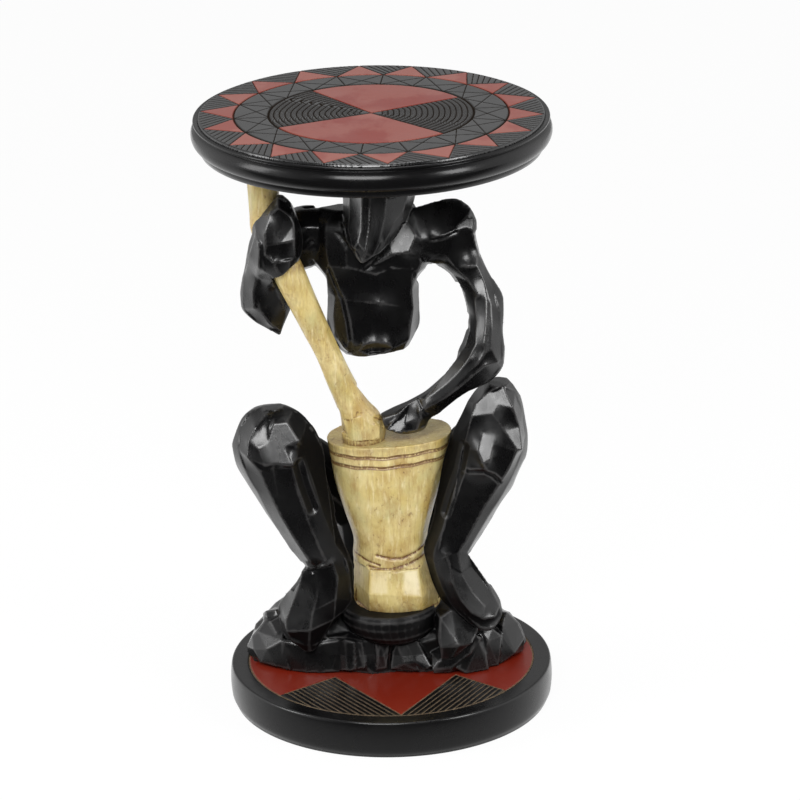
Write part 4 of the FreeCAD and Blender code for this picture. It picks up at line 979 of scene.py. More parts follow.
# Facets that are truly flat: slope sideways, slope upwards, and how deep they sink in millimetres
rightLegFlats = {
    "c1 c2 c3 c4 c5 c6 c7": (-0.04, 0.41, 2.0), "f1 m7 g1 g2 g3 g4 a4 a3 a2 a1": (-0.12, 0.36, 0),
}
leftLegFlats = {
    "n6 n1 n2 n8 n7": (-0.15, 0.50, 0.5), "q1 q2 q3 q4 q5": (-0.12, 0.52, 1.0), "n4 n5 n10 n9": (0.45, 0.50, 0),
}
fistFlats = {"N3 N8 N4": (0.0, 0.50, 1.0)}
armFlats = {
    "g6 g5 k6 k7 g2": (-0.05, 0.48, 1.0), "d1 d2 d3 d4 d5 d6": (-0.08, 0.44, 0.5),
    "b3 z2 z3 z4 b5 b4": (-0.10, 0.46, 0.5),
}


def limbTree(*numbers):
    return partTree([limbParts[number] for number in numbers])


carveFacets(carvedFigure, figure["voxel"], [
    (limbTree(6), rightLegCorners, rightLegFacets, rightLegFlats),
    (limbTree(7), leftLegCorners, leftLegFacets, leftLegFlats),
    (limbTree(4, 5), armCorners, fistFacets, fistFlats),
    (limbTree(1, 2), armCorners, armFacets, armFlats),
    (limbTree(0), bodyCorners, headFacets, {}),
    (limbTree(1), bodyCorners, bodyFacets, {}),
])
carveCreases(carvedFigure.data, figureCreases)
relax(carvedFigure.data, 1, 0.3)
storeRidgeWearAndHighlight(carvedFigure.data, 3, figure["wearAndHighlight"])
storeShelter(carvedFigure.data, figure["shelter"])
carvedFigure.data.materials.append(blackWood)
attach(carvedFigure, "root")
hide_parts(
    "head", "torso", "left_upper_arm", "right_upper_arm", "left_forearm", "right_forearm",
    "hips", "left_thigh", "right_thigh", "left_shin", "right_shin",
)
print("figure", len(carvedFigure.data.vertices))

# Rock: a low mound with boulders and wedges set against it

rock = {
    "halfWidth": 0.124, "halfDepth": 0.062, "height": 0.058, "centre": (0.006, 0.025),
    "voxel": 0.0010, "wearAndHighlight": 9000, "dullRadius": 0.068, "dull": 0.75,
}
rockOutline = [
    (1.00, 0.06), (0.95, -0.24), (0.81, -0.50), (0.69, -0.79), (0.48, -0.85),
    (0.27, -0.98), (0.08, -0.94), (-0.11, -1.02), (-0.31, -0.89), (-0.55, -0.81),
    (-0.77, -0.63), (-0.95, -0.50), (-1.00, -0.18), (-0.95, 0.31), (-0.73, 0.69),
    (-0.42, 0.92), (-0.08, 0.95), (0.24, 1.02), (0.58, 0.85), (0.85, 0.50),
]
# For each level above the base, how far out each corner stands and how high
rockLevels = [
    [(1, 0)] * 20,
    [
        (0.95, 0.30), (0.88, 0.44), (0.99, 0.52), (0.90, 0.44), (1.00, 0.56),
        (0.90, 0.44), (0.98, 0.60), (0.88, 0.46), (1.00, 0.56), (0.94, 0.36),
        (1.00, 0.42), (0.90, 0.30), (0.94, 0.46), (0.88, 0.36), (0.97, 0.50),
        (0.90, 0.40), (0.98, 0.54), (0.90, 0.38), (0.97, 0.50), (0.88, 0.36),
    ],
    [
        (0.80, 0.60), (0.80, 0.62), (0.80, 0.62), (0.84, 0.60), (0.84, 0.60),
        (0.80, 0.56), (0.80, 0.58), (0.78, 0.56), (0.84, 0.58), (1.00, 0.50),
        (1.02, 0.52), (0.88, 0.62), (0.80, 0.66), (0.84, 0.62), (0.82, 0.80),
        (0.88, 0.68), (0.86, 0.82), (0.84, 0.68), (0.84, 0.80), (0.78, 0.64),
    ],
    [
        (0.54, 0.84), (0.55, 0.88), (0.60, 0.90), (0.66, 0.90), (0.74, 0.90),
        (0.70, 0.90), (0.70, 0.90), (0.70, 0.90), (0.72, 0.86), (0.80, 0.74),
        (0.72, 0.80), (0.64, 0.86), (0.54, 0.82), (0.56, 0.94), (0.60, 1),
        (0.62, 0.92), (0.66, 1), (0.62, 0.92), (0.58, 0.96), (0.54, 0.88),
    ],
]


def rockMound():
    rings = []
    for level in rockLevels:
        rings.append(np.array([
            (
                rock["centre"][0] + a * out * rock["halfWidth"],
                rock["centre"][1] + d * out * rock["halfDepth"],
                space["floor"] + rise * rock["height"],
            )
            for (a, d), (out, rise) in zip(rockOutline, level)
        ]))
    return closedRings(rings, split=True)


# The ledge's rings: height, middle, half width and half depth
lipLevels = [
    (0.061, 0.013, 0.026, 0.038), (0.064, 0.012, 0.034, 0.042), (0.069, 0.010, 0.040, 0.045),
    (0.077, 0.008, 0.043, 0.046), (0.084, 0.008, 0.044, 0.045), (0.088, 0.008, 0.042, 0.042),
]


def lip(count=40):
    # The smooth ledge that the mortar stands on, lowest a little right of its middle.
    angle = 2 * np.pi * np.arange(count) / count
    rings = []
    for level, middle, wide, deep in lipLevels:
        across, along = middle + np.cos(angle) * wide, -0.002 + np.sin(angle) * deep
        rings.append(np.stack([across, along, np.full(count, level) + 0.001 * np.cos(angle)], 1))
    return closedRings(rings, split=True)


def boulder(points):
    work = bmesh.new()
    for point in points:
        work.verts.new(point)
    found = bmesh.ops.convex_hull(work, input=work.verts)
    loose = {item for item in found["geom_interior"] + found["geom_unused"] if isinstance(item, bmesh.types.BMVert)}
    bmesh.ops.delete(work, geom=list(loose), context="VERTS")
    bmesh.ops.recalc_face_normals(work, faces=work.faces)
    work.verts.ensure_lookup_table()
    work.verts.index_update()
    vertices = np.array([v.co[:] for v in work.verts])
    faces = [[v.index for v in f.verts] for f in work.faces]
    work.free()
    return vertices, faces


# Boulders as corners (x, y, z) in millimetres
boulders = [
    # right of the mortar, under the left foot
    [(62, -30, 90), (52, -34, 84), (50, -40, 66), (52, -44, 60), (53, -40, 47), (60, -40, 46), (68, -45, 62),
     (80, -42, 63), (85, -36, 71), (80, -26, 84), (46, -10, 84), (62, 0, 88), (86, 0, 78)],
    [(45, -42, 38), (50, -41, 45), (84, -35, 67), (88, -34, 64), (78, -39, 52), (62, -42, 40), (60, -40, 34),
     (46, -41, 34), (70, -20, 60), (90, -20, 60), (90, -24, 36), (60, -10, 50), (44, -30, 50)],
    [(86, -35, 61), (80, -38, 50), (66, -42, 39), (74, -42, 34), (94, -34, 34), (92, -33, 48), (90, -30, 60),
     (88, -10, 62), (100, -10, 36), (64, -30, 34)],
    [(88, -29, 68), (98, -24, 68), (106, -22, 60), (105, -24, 50), (103, -26, 34), (92, -30, 34), (90, -32, 50),
     (88, 0, 70), (108, 0, 60), (106, 0, 36), (94, -31, 60)],
    [(108, -11, 72), (111, -6, 76), (114, 4, 72), (121, 0, 64), (127, 2, 48), (126, 6, 34), (118, -13, 40),
     (105, -22, 34), (107, -19, 58), (107, -16, 68), (98, 4, 74), (104, 24, 68), (118, 26, 40), (96, -6, 68)],
    # left of the right foot
    [(-118, 8, 36), (-118, 6, 43), (-113, 0, 55), (-108, -3, 60), (-100, 4, 70), (-92, 4, 70), (-85, -8, 67),
     (-96, -14, 60), (-112, -8, 46), (-100, -19, 50), (-86, -24, 60), (-106, -16, 36), (-92, -25, 36),
     (-80, -30, 36), (-80, 0, 66), (-110, 24, 54), (-112, 26, 38)],
    [(-103, 6, 66), (-101, 8, 75), (-92, 6, 77), (-90, 2, 70), (-104, 24, 66), (-92, 28, 70), (-84, 14, 76),
     (-84, 0, 66), (-100, -2, 60)],
    [(-86, -27, 34), (-66, -34, 34), (-44, -36, 34), (-30, -34, 36), (-34, -30, 62), (-48, -30, 60),
     (-66, -31, 54), (-86, -25, 60), (-60, 0, 60), (-90, -10, 60)],
    # wall pieces in front
    [(-31, -33, 64), (-22, -34, 62), (-22, -39, 37), (-30, -38, 36), (-40, -32, 36), (-38, -28, 60),
     (-28, -10, 64)],
    [(-22, -32, 62), (-16, -32, 60), (-13, -34, 50), (-14, -39, 38), (-22, -37, 37), (-18, -10, 60)],
    [(-5, -34, 62), (0, -35, 64), (8, -34, 61), (3, -38, 50), (-3, -38, 50), (-4, -37, 37), (5, -38, 37),
     (0, -10, 62)],
    [(14, -33, 61), (23, -33, 61), (30, -40, 45), (20, -41, 44), (8, -38, 37), (34, -40, 36), (10, -34, 52),
     (18, -10, 61)],
    [(24, -32, 62), (33, -31, 60), (45, -38, 38), (38, -40, 37), (30, -40, 45), (30, -10, 61)],
    # stones that the two feet stand on
    [(70, -30, 66), (92, -28, 66), (68, -4, 68), (94, -4, 70), (72, -28, 83), (87, -26, 84), (70, -6, 88),
     (90, -8, 88), (74, 2, 90), (86, 3, 90), (80, -31, 78)],
    [(-68, -28, 62), (-47, -28, 62), (-70, -2, 60), (-44, -2, 60), (-64, -27, 78), (-50, -27, 78),
     (-67, -6, 84), (-46, -6, 84), (-64, 2, 86), (-49, 2, 86), (-57, -30, 72)],
    # back
    [(-60, 20, 84), (-84, 44, 76), (-66, 72, 74), (-30, 74, 80), (-20, 40, 86), (-92, 30, 46), (-60, 80, 44),
     (-20, 84, 46)],
    [(-16, 40, 84), (-10, 74, 80), (24, 80, 82), (40, 60, 84), (30, 30, 86), (-10, 84, 44), (30, 88, 42),
     (56, 76, 50)],
    [(40, 40, 84), (52, 70, 80), (80, 62, 76), (96, 36, 74), (70, 20, 82), (62, 78, 46), (100, 58, 44),
     (112, 30, 44)],
]
stones = [boulder([(x / 1000, y / 1000, z / 1000) for x, y, z in item]) for item in boulders]
carvedRock = fused("carvedRock", [rockMound(), lip()] + stones, rock["voxel"])
relax(carvedRock.data, 1, 0.3)
storeRidgeWearAndHighlight(carvedRock.data, 3, rock["wearAndHighlight"])
rockPoints = coordinates(carvedRock.data)
fromMortar = np.hypot(rockPoints[:, 0] - space["mortarX"], rockPoints[:, 1])
ledge = unit((rock["dullRadius"] - fromMortar) / 0.012) * (rockPoints[:, 2] > 0.05)
storeValue(carvedRock.data, "shelter", rock["dull"] * ledge)
carvedRock.data.materials.append(blackWood)
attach(carvedRock, "root")
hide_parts("rock")
print("rock", len(carvedRock.data.vertices))

# Mortar

mortar = {
    "voxel": 0.0008,
    "halfWidth": 0.0535, "halfDepth": 0.036, "rimLevel": 0.449, "rimLean": 3.2, "footLevel": 0.113,
    "grooveDepth": 0.0013, "grooveHalfWidth": 0.0016, "band": 0.0094, "wearAndHighlight": 7000,
}
mortarStations = [
    (0.128, 0.00, mortar["footLevel"], 0.68, 0.81, 0),
    (0.128, 0.00, 0.126, 0.72, 0.89, 0),
    (0.128, 0.00, 0.160, 0.71, 0.90, 0),
    (0.112, 0.00, 0.189, 0.645, 0.83, 0),
    (0.084, 0.00, 0.211, 0.617, 0.76, 0),
    (0.080, 0.00, 0.249, 0.60, 0.75, 0),
    (0.072, 0.00, 0.306, 0.73, 0.82, 0),
    (0.076, 0.00, 0.366, 0.87, 0.90, 1.5),
    (0.084, 0.00, mortar["rimLevel"], 1.00, 1.00, mortar["rimLean"]),
]
mortarSection = bowedSection(ovalSection(14, 1.25), 0.05, 12)
mortarLoft = loft(mortarStations, mortarSection, mortar["halfWidth"], mortar["halfDepth"], perSpan=14)
mortarBody = fused("mortarBody", [mortarLoft], mortar["voxel"])


def belowRim(points):
    # How far each point lies under the slanting rim.
    tilt = math.tan(math.radians(mortar["rimLean"]))
    rimHeight = space["floor"] + mortar["rimLevel"] * space["height"]
    return rimHeight + tilt * (points[:, 0] - space["mortarX"]) - points[:, 2]


def wander(points):
    # The grooves are cut by hand and waver a little.
    return 0.0007 * np.sin(points[:, 0] * 90 + 1) + 0.0004 * np.sin(points[:, 0] * 260)


def engraveMortar(mesh):
    points = coordinates(mesh)
    drop = belowRim(points)
    outward = points - np.array([space["mortarX"], 0, 0])
    outward[:, 2] = 0
    radius = np.linalg.norm(outward, axis=1)
    outward /= np.maximum(radius, 1e-6)[:, None]
    wall = drop > 0.0015
    for band in (1, 2):
        away = np.abs(drop - band * mortar["band"] - wander(points))
        cut = mortar["grooveDepth"] * unit(1 - away / mortar["grooveHalfWidth"])
        points -= outward * (cut * wall)[:, None]
    setCoordinates(mesh, points)


mortarCorners = {
    "u1": (-23, 131, 0), "u2": (-8, 128, 1.0), "u3": (8, 126, 1.0), "u4": (20, 127, 1.5), "u5": (34, 128, 1.0),
    "u6": (43, 130, 0), "l1": (-24, 104, 0), "l2": (-9, 106, 2.0), "l3": (8, 105, 3.0), "l4": (20, 105, 3.0),
    "l5": (37, 103, 2.0), "l6": (54, 106, 0), "b1": (-22, 87, 0), "b2": (-9, 87, 0.5), "b3": (8, 87, 1),
    "b4": (20, 87, 1), "b5": (37, 87, 0.5), "b6": (52, 88, 0), "v1": (58, 222, 0), "v2": (50, 214, 0.3),
    "v3": (44, 185, 0.4), "v4": (38, 156, 0), "v5": (42, 154, 0), "v6": (45, 170, 0), "v7": (51, 198, 0),
}
mortarFacets = [
    "u1 u2 l2 l1", "u2 u3 l3 l2", "u3 u4 l4 l3", "u4 u5 l5 l4", "u5 u6 l6 l5", "l1 l2 b2 b1", "l2 l3 b3 b2",
    "l3 l4 b4 b3", "l4 l5 b5 b4", "l5 l6 b6 b5", "v1 v2 v3 v4 v5 v6 v7",
]
mortarFlats = {"u2 u3 l3 l2": (0, 0.14, -1.0), "u4 u5 l5 l4": (0.10, 0.20, -0.8)}
# How much paler these facets are painted, partly stain worn off and partly a painted highlight
mortarRubbedAndHighlightFacets = {"u2 u3 l3 l2": 0.55, "u4 u5 l5 l4": 1.0}
mortarCreases = [
    # width and depth in millimetres, then the line
    (2.4, 1.8, [(-2, 140), (10, 137), (20, 137), (32, 141), (42, 146)]),
    (2.2, 1.6, [(-26, 138), (-17, 137), (-10, 134), (0, 131)]),
    (3.6, 2.0, [(14, 128), (24, 131), (34, 134), (43, 138)]),
    (1.6, 0.9, [(-10, 130), (2, 128), (14, 128)]),
]
carveFacets(mortarBody, mortar["voxel"], [(skinTree(mortarBody.data), mortarCorners, mortarFacets, mortarFlats)])
carveCreases(mortarBody.data, mortarCreases)
engraveMortar(mortarBody.data)


# Brown left in bands: where it is strongest, how far it spreads and how strong it is
rimGrime = [(mortar["band"], 0.003, 0.4), (2 * mortar["band"], 0.003, 0.4), (0.003, 0.006, 0.32)]
waistGrime = [(0.136, 0.008, 0.28)]
pestleBands = [(0.408, 0.010, 0.75), (0.483, 0.012, 0.5)]


def grimeBands(along, bands):
    return np.max([strength * unit(1 - np.abs(along - middle) / spread) for middle, spread, strength in bands], 0)


def grimeFoot(height, level, spread, strength):
    return strength * unit(1 - (height - level) / spread)


def creaseGrime(points):
    found = np.zeros(len(points))
    for width, deep, line in mortarCreases:
        spots = np.array(line) / 1000
        away = borderDistance(points[:, 0], points[:, 2], list(zip(spots, spots[1:])))
        found = np.maximum(found, 0.8 * unit(1 - away / (width / 1000)) * (points[:, 1] < 0))
    return found


def rubbedAndHighlightFacets(points):
    # Painted highlight and worn stain: how much paler each listed facet is, fading at its border.
    found = np.zeros(len(points))
    for facet, share in mortarRubbedAndHighlightFacets.items():
        border = np.array([mortarCorners[c][:2] for c in facet.split()]) / 1000
        inside = insidePolygon(points[:, 0], points[:, 2], border) & (points[:, 1] < 0)
        clear = borderDistance(points[:, 0], points[:, 2], list(zip(border, np.roll(border, -1, 0))))
        found = np.maximum(found, share * unit(clear / 0.0025) * inside)
    return found


def mortarGrimeAndShade(mesh):
    points = coordinates(mesh)
    x, height, drop = points[:, 0], points[:, 2], belowRim(points)
    # Painted shade: the left side of the body is darkened towards brown.
    leftSideShade = unit((-0.012 - x - (height - 0.165) * 0.5) / 0.012) * (height > 0.14) * (drop > 0.02)
    rightFoot = unit((x - 0.030) / 0.012) * unit((0.132 - height) / 0.01)
    grimeAndShade = np.max([
        grimeBands(drop, rimGrime), grimeBands(height, waistGrime), creaseGrime(points),
        grimeFoot(height, space["floor"] + mortar["footLevel"] * space["height"], 0.005, 0.9),
        grimeFoot(height, 0.086, 0.014, 0.5), 0.30 * leftSideShade, 0.42 * rightFoot,
    ], 0)
    storeValue(mesh, "grimeAndShade", grimeAndShade)
    storeValue(mesh, "drop", (drop - wander(points)) / mortar["band"] * (points[:, 1] < 0.2))
    # These values carry a painted highlight as well as worn stain.
    storeValue(mesh, "rubbedAndHighlight", rubbedAndHighlightFacets(points))


storeRidgeWearAndHighlight(mortarBody.data, 3, mortar["wearAndHighlight"])
mortarGrimeAndShade(mortarBody.data)
mortarBody.data.materials.append(paleWood)
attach(mortarBody, "root")
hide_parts("mortar")

# Pestle

pestle = {
    "radius": 0.0135, "voxel": 0.0007, "wearAndHighlight": 7000,
    "cuts": {"seed": 3, "spacing": 0.020, "depth": (0.0002, 0.0006), "bowl": 0.20, "reach": 0.026},
}
pestleStations = [
    (-0.752, -0.24, 1.000, 0.96, 0.96, 0),
    (-0.728, -0.36, 0.898, 0.985, 0.985, 4),
    (-0.712, -0.42, 0.857, 1.00, 1.00, 12),
    (-0.592, -0.48, 0.789, 1.02, 1.02, 24),
    (-0.472, -0.44, 0.713, 0.89, 0.89, 23),
    (-0.336, -0.40, 0.628, 0.80, 0.80, 22),
    (-0.240, -0.35, 0.564, 0.86, 0.86, 20),
    (-0.165, -0.31, 0.519, 0.98, 0.98, 18),
    (-0.118, -0.28, 0.497, 1.22, 1.14, 10),
    (-0.092, -0.25, 0.474, 1.42, 1.30, 4),
    (-0.092, -0.23, 0.456, 1.40, 1.30, 2),
    (-0.092, -0.22, 0.440, 1.30, 1.25, 2),
]
pestleSection = bowedSection(ovalSection(9, 1), 0.10, 6)
pestleLoft = loft(pestleStations, pestleSection, pestle["radius"], pestle["radius"], perSpan=8)
pestlePole = fused("pestlePole", [pestleLoft], pestle["voxel"])
pestleFacets = ["a b f e", "b c g f", "c j h g", "c d i j", "j i k h"]
pestleCorners = {
    "a": (-30, 266, 0), "b": (-20, 268, 1), "c": (-12, 271, 1.5), "d": (-4, 270, 0), "e": (-30, 249, 0),
    "f": (-20, 248, 1.5), "g": (-9, 249, 2.5), "h": (3, 248, 2), "i": (8, 262, 0), "j": (2, 259, 2),
    "k": (7, 250, 0),
}
carveFacets(pestlePole, mortar["voxel"], [(skinTree(pestlePole.data), pestleCorners, pestleFacets, {})])
knifeCuts(pestlePole.data, pestle["cuts"])


def pestleGrime(mesh):
    points = coordinates(mesh)
    height = points[:, 2]
    blotches = 0.16 + 0.14 * np.sin(height * 70) * np.sin(points[:, 0] * 160)
    grimeAndShade = np.max([grimeBands(height, pestleBands), grimeFoot(height, 0.244, 0.007, 0.9), blotches], 0)
    storeValue(mesh, "grimeAndShade", grimeAndShade)


storeRidgeWearAndHighlight(pestlePole.data, 3, pestle["wearAndHighlight"])
pestleGrime(pestlePole.data)
pestlePole.data.materials.append(paleWood)
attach(pestlePole, "root")
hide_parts("pestle")
print("mortar and pestle", len(mortarBody.data.vertices), len(pestlePole.data.vertices))


# Boards: a finely gridded face that carries the engraving, and a turned edge round it

def faceGrid(radius, step):
    half = int(math.ceil(radius / step))
    line = np.arange(-half, half + 1) * step
    gridX, gridY = np.meshgrid(line, line)
    count = len(line)
    inside = gridX ** 2 + gridY ** 2 <= radius ** 2
    index = -np.ones((count, count), int)
    index[inside] = np.arange(inside.sum())
    quad = inside[:-1, :-1] & inside[1:, :-1] & inside[:-1, 1:] & inside[1:, 1:]
    faces = np.stack([index[:-1, :-1][quad], index[:-1, 1:][quad], index[1:, 1:][quad], index[1:, :-1][quad]], 1)
    return gridX[inside], gridY[inside], faces


def turnedEdge(profile, count):
    angle = 2 * np.pi * np.arange(count) / count
    rings = []
    for radius, height in profile:
        rings.append(np.stack([np.cos(angle) * radius, np.sin(angle) * radius, np.full(count, height)], 1))
    return np.vstack(rings), ringFaces(rings)


def clock(degrees, radius):
    # A point on a circle, the angle counted from the back towards the right.
    return math.sin(math.radians(degrees)) * radius, math.cos(math.radians(degrees)) * radius


def insideTriangle(x, y, a, b, c):
    def side(p, q):
        return (q[0] - p[0]) * (y - p[1]) - (q[1] - p[1]) * (x - p[0])
    first, second, third = side(a, b), side(b, c), side(c, a)
    return ((first >= 0) & (second >= 0) & (third >= 0)) | ((first <= 0) & (second <= 0) & (third <= 0))


class Engraving:
    def __init__(self, x, y):
        self.x, self.y = x, y
        self.depth = np.zeros(len(x))
        self.line = np.zeros(len(x))
        self.red = np.zeros(len(x))
        self.worn = np.zeros(len(x))
        self.fall = np.zeros(len(x))
        self.limit = 1

    def cut(self, distance, depth, halfWidth, mask=None):
        share = unit(1 - distance / halfWidth)
        if mask is not None:
            share = share * mask
        self.depth = np.maximum(self.depth, depth * share)
        self.line = np.maximum(self.line, unit(share * 1.6))

    def stroke(self, start, end, depth, halfWidth, mask=None):
        self.cut(lineDistance(self.x, self.y, start, end), depth, halfWidth, mask)

    def hatch(self, tip, a, b, count, depth, halfWidth):
        # Lines beside the side from the tip to a, shifted towards b.
        mask = insideTriangle(self.x, self.y, tip, a, b) & (np.hypot(self.x, self.y) < self.limit)
        for k in range(1, count + 1):
            share = k / (count + 1)
            shift = ((b[0] - a[0]) * share, (b[1] - a[1]) * share)
            start = (tip[0] + shift[0], tip[1] + shift[1])
            end = (a[0] + shift[0] * 1.3, a[1] + shift[1] * 1.3)
            back = (2 * start[0] - end[0], 2 * start[1] - end[1])
            self.stroke(back, (2 * end[0] - start[0], 2 * end[1] - start[1]), depth, halfWidth, mask)


def buildBoard(name, centre, faceHeight, engraving, faces, profile, material, count):
    x, y = engraving.x, engraving.y
    height = faceHeight - engraving.depth - engraving.fall
    face = np.stack([x, y, height], 1)
    edge, edgeFaces = turnedEdge(profile, count)
    start = len(face)
    vertices = np.vstack([face, edge]) + np.array([centre[0], centre[1], 0])
    piece = makeObject(name, vertices, [tuple(f) for f in faces] + [tuple(i + start for i in f) for f in edgeFaces])
    none = np.zeros(len(edge))
    for layer in ("red", "line", "worn"):
        storeValue(piece.data, layer, np.concatenate([getattr(engraving, layer), none]))
    storeValue(piece.data, "turned", np.concatenate([np.zeros(len(face)), none + 1]))
    shadeSmooth(piece.data)
    piece.data.materials.append(material)
    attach(piece, "root")
    return piece


def arcProfile(radius, low, high, swell, steps):
    # A half-round between two heights on one radius, standing out by the swell.
    half = (high - low) / 2
    bow = (swell ** 2 + half ** 2) / (2 * swell)
    angle = math.asin(half / bow)
    return [
        (radius + swell - bow + bow * math.cos(a), (low + high) / 2 + bow * math.sin(a))
        for a in np.linspace(angle, -angle, steps)
    ]


topFace = {
    "step": 0.0006, "height": 0.532, "edge": 0.1454, "outerRing": 0.1158, "innerRing": 0.0864,
    "points": 18, "startAngle": 4.2, "lineDepth": 0.0009, "lineHalfWidth": 0.00085, "hatchLines": 9,
    "ringPitch": 0.0048, "sectors": (324, 60, 136, 244), "rim": 0.1524, "underside": 0.503,
}


def topEngraving():
    random = np.random.default_rng(4)
    x, y, faces = faceGrid(0.1466, topFace["step"])
    radius = np.hypot(x, y)
    angle = np.degrees(np.arctan2(x, y)) % 360
    face = Engraving(x, y)
    face.fall = unit(radius - topFace["edge"]) * 2.4
    face.limit = topFace["edge"] - 0.001
    outer, inner = topFace["outerRing"], topFace["innerRing"]
    depth, half = topFace["lineDepth"], topFace["lineHalfWidth"]
    face.cut(np.abs(radius - outer), depth * 1.3, half * 1.5)
    face.cut(np.abs(radius - inner), depth * 1.4, half * 1.8)
    step = 360 / topFace["points"]
    marks = [topFace["startAngle"] + step * k + random.uniform(-1.1, 1.1) for k in range(topFace["points"])]
    marks.append(marks[0] + 360)
    tips = [(a + b) / 2 + random.uniform(-0.8, 0.8) for a, b in zip(marks, marks[1:])]
    tips = [tips[-1] - 360] + tips
    for k in range(topFace["points"]):
        low, high = clock(marks[k], outer), clock(marks[k + 1], outer)
        tip = clock(tips[k + 1], topFace["edge"] - 0.0004)
        band = insideTriangle(x, y, low, high, tip) & (radius > outer)
        face.red = np.maximum(face.red, band * 1.0)
        face.worn = np.maximum(face.worn, band * 0.45)
        face.stroke(low, tip, depth * 0.7, half * 0.8)
        face.stroke(tip, high, depth * 0.7, half * 0.8)
        before = clock(tips[k], topFace["edge"] + 0.001)
        after = clock(tips[k + 1], topFace["edge"] + 0.001)
        face.hatch(low, before, (after[0] * 1.02, after[1] * 1.02), topFace["hatchLines"], depth * 0.8, half * 0.72)
        near, far = clock(marks[k], inner), clock(marks[k + 1], inner)
        between = (radius > inner) & (radius < outer)
        face.stroke(clock(marks[k], inner), clock(marks[k], outer), depth * 0.8, half * 0.8, between)
        face.stroke(near, high, depth * 0.7, half * 0.7, between)
        face.stroke(low, far, depth * 0.7, half * 0.7, between)
    centre = radius < inner
    backStart, backEnd, frontStart, frontEnd = topFace["sectors"]
    backRed = (angle > backStart) | (angle < backEnd)
    frontRed = (angle > frontStart) & (angle < frontEnd)
    face.red = np.where(centre & (backRed | frontRed), 1.0, face.red)
    face.worn = np.maximum(face.worn, centre * np.clip(1 - radius / 0.022, 0, 0.6))
    for bound in topFace["sectors"]:
        face.stroke((0, 0), clock(bound, inner), depth * 0.9, half)
    dark = centre & ~backRed & ~frontRed
    pitch = topFace["ringPitch"]
    waved = radius + 0.0005 * np.sin(np.radians(angle) * 9)
    face.cut(np.abs((waved + pitch / 2) % pitch - pitch / 2), depth * 0.8, half * 0.9, dark & (radius > 0.006))
    arc = np.radians(angle) * np.maximum(radius, 0.004)
    ticks = np.abs((arc + 0.0011) % 0.0022 - 0.0011)
    face.cut(ticks, depth * 0.22, half * 0.5, dark & (radius > 0.010))
    return face, faces


topCuts, topFaces = topEngraving()
rim, underside = topFace["rim"], topFace["underside"]
topProfile = [(0.1462, 0.5297), (0.1468, 0.5301), (rim - 0.0035, 0.5301)]
topProfile += arcProfile(rim - 0.0031, 0.5274, 0.5302, 0.0011, 7)  # the thin bead
topProfile += [(rim - 0.0044, 0.5267)]
topProfile += arcProfile(rim - 0.0041, 0.5094, 0.5262, 0.0041, 19)  # the bulge
topProfile += [(rim - 0.0053, 0.5089), (rim - 0.0052, 0.5083), (rim - 0.0078, 0.5034)]
topProfile += [(rim - 0.0083, underside), (0.02, underside), (0.0005, underside)]
topPaint = boardPaint("topBoardPaint", boardFinish, 0.04, 0.6)
tableTop = buildBoard("tableTop", (0, 0), topFace["height"], topCuts, topFaces, topProfile, topPaint, 360)
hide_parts("top_board")

baseFace = {
    "step": 0.0006, "height": 0.033, "ring": 0.125, "edge": 0.1388, "wall": 0.1406,
    "lineDepth": 0.0009, "lineHalfWidth": 0.0009, "hatchLines": 11, "centreX": 0.009,
}


def baseEngraving():
    x, y, faces = faceGrid(0.1396, baseFace["step"])
    radius = np.hypot(x, y)
    face = Engraving(x, y)
    face.fall = unit(radius - baseFace["edge"]) * 0.6
    depth, half = baseFace["lineDepth"], baseFace["lineHalfWidth"]
    face.red = (radius < baseFace["ring"]) * 1.0
    face.cut(np.abs(radius - baseFace["ring"]), depth, half)
    # The two hatched fields of the front, then the same pair turned to the back.
    shared = (0.008, -0.1233)
    pairs = [
        ((-0.049, -0.0425), shared, (-0.0925, -0.0760)),
        ((0.0560, -0.0415), shared, (0.0990, -0.0770)),
    ]
    pairs += [tuple((-p[0], -p[1]) for p in pair) for pair in pairs]
    for tip, near, far in pairs:
        grow = tuple(t + (n - t) * 2 for t, n in zip(tip, near))
        spread = tuple(t + (f - t) * 2 for t, f in zip(tip, far))
        field = insideTriangle(x, y, tip, grow, spread) & (radius < baseFace["ring"])
        face.red = np.where(field, 0.0, face.red)
        face.stroke(tip, near, depth * 0.8, half * 0.8)
        face.stroke(tip, far, depth * 0.8, half * 0.8)
        for k in range(1, baseFace["hatchLines"] + 1):
            share = k / (baseFace["hatchLines"] + 0.6)
            start = (tip[0] + (far[0] - tip[0]) * share, tip[1] + (far[1] - tip[1]) * share)
            end = (start[0] + (near[0] - tip[0]) * 1.2, start[1] + (near[1] - tip[1]) * 1.2)
            face.stroke(start, end, depth * 0.8, half * 0.72, field)
    return face, faces


baseCuts, baseFaces = baseEngraving()
baseProfile = [(baseFace["edge"], 0.03295), (0.1393, 0.0328), (0.1399, 0.0324), (0.1403, 0.0316)]
baseProfile += arcProfile(baseFace["wall"], 0.006, 0.0305, 0.0009, 11)
baseProfile += [(0.1380, 0.0), (0.1376, 0.0), (0.02, 0.0), (0.0005, 0.0)]
baseFinish = dict(boardFinish, gloss=0.35, coat=0.12, turned=0.02, dull=0)
basePaint = boardPaint("baseBoardPaint", baseFinish, 0.95, 0.15)
tableBase = buildBoard(
    "tableBase", (baseFace["centreX"], 0), baseFace["height"], baseCuts, baseFaces, baseProfile, basePaint, 360,
)
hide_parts("base_board")
print("boards", len(tableTop.data.vertices), len(tableBase.data.vertices))


# Hidden dowels and screws keep their CAD shapes

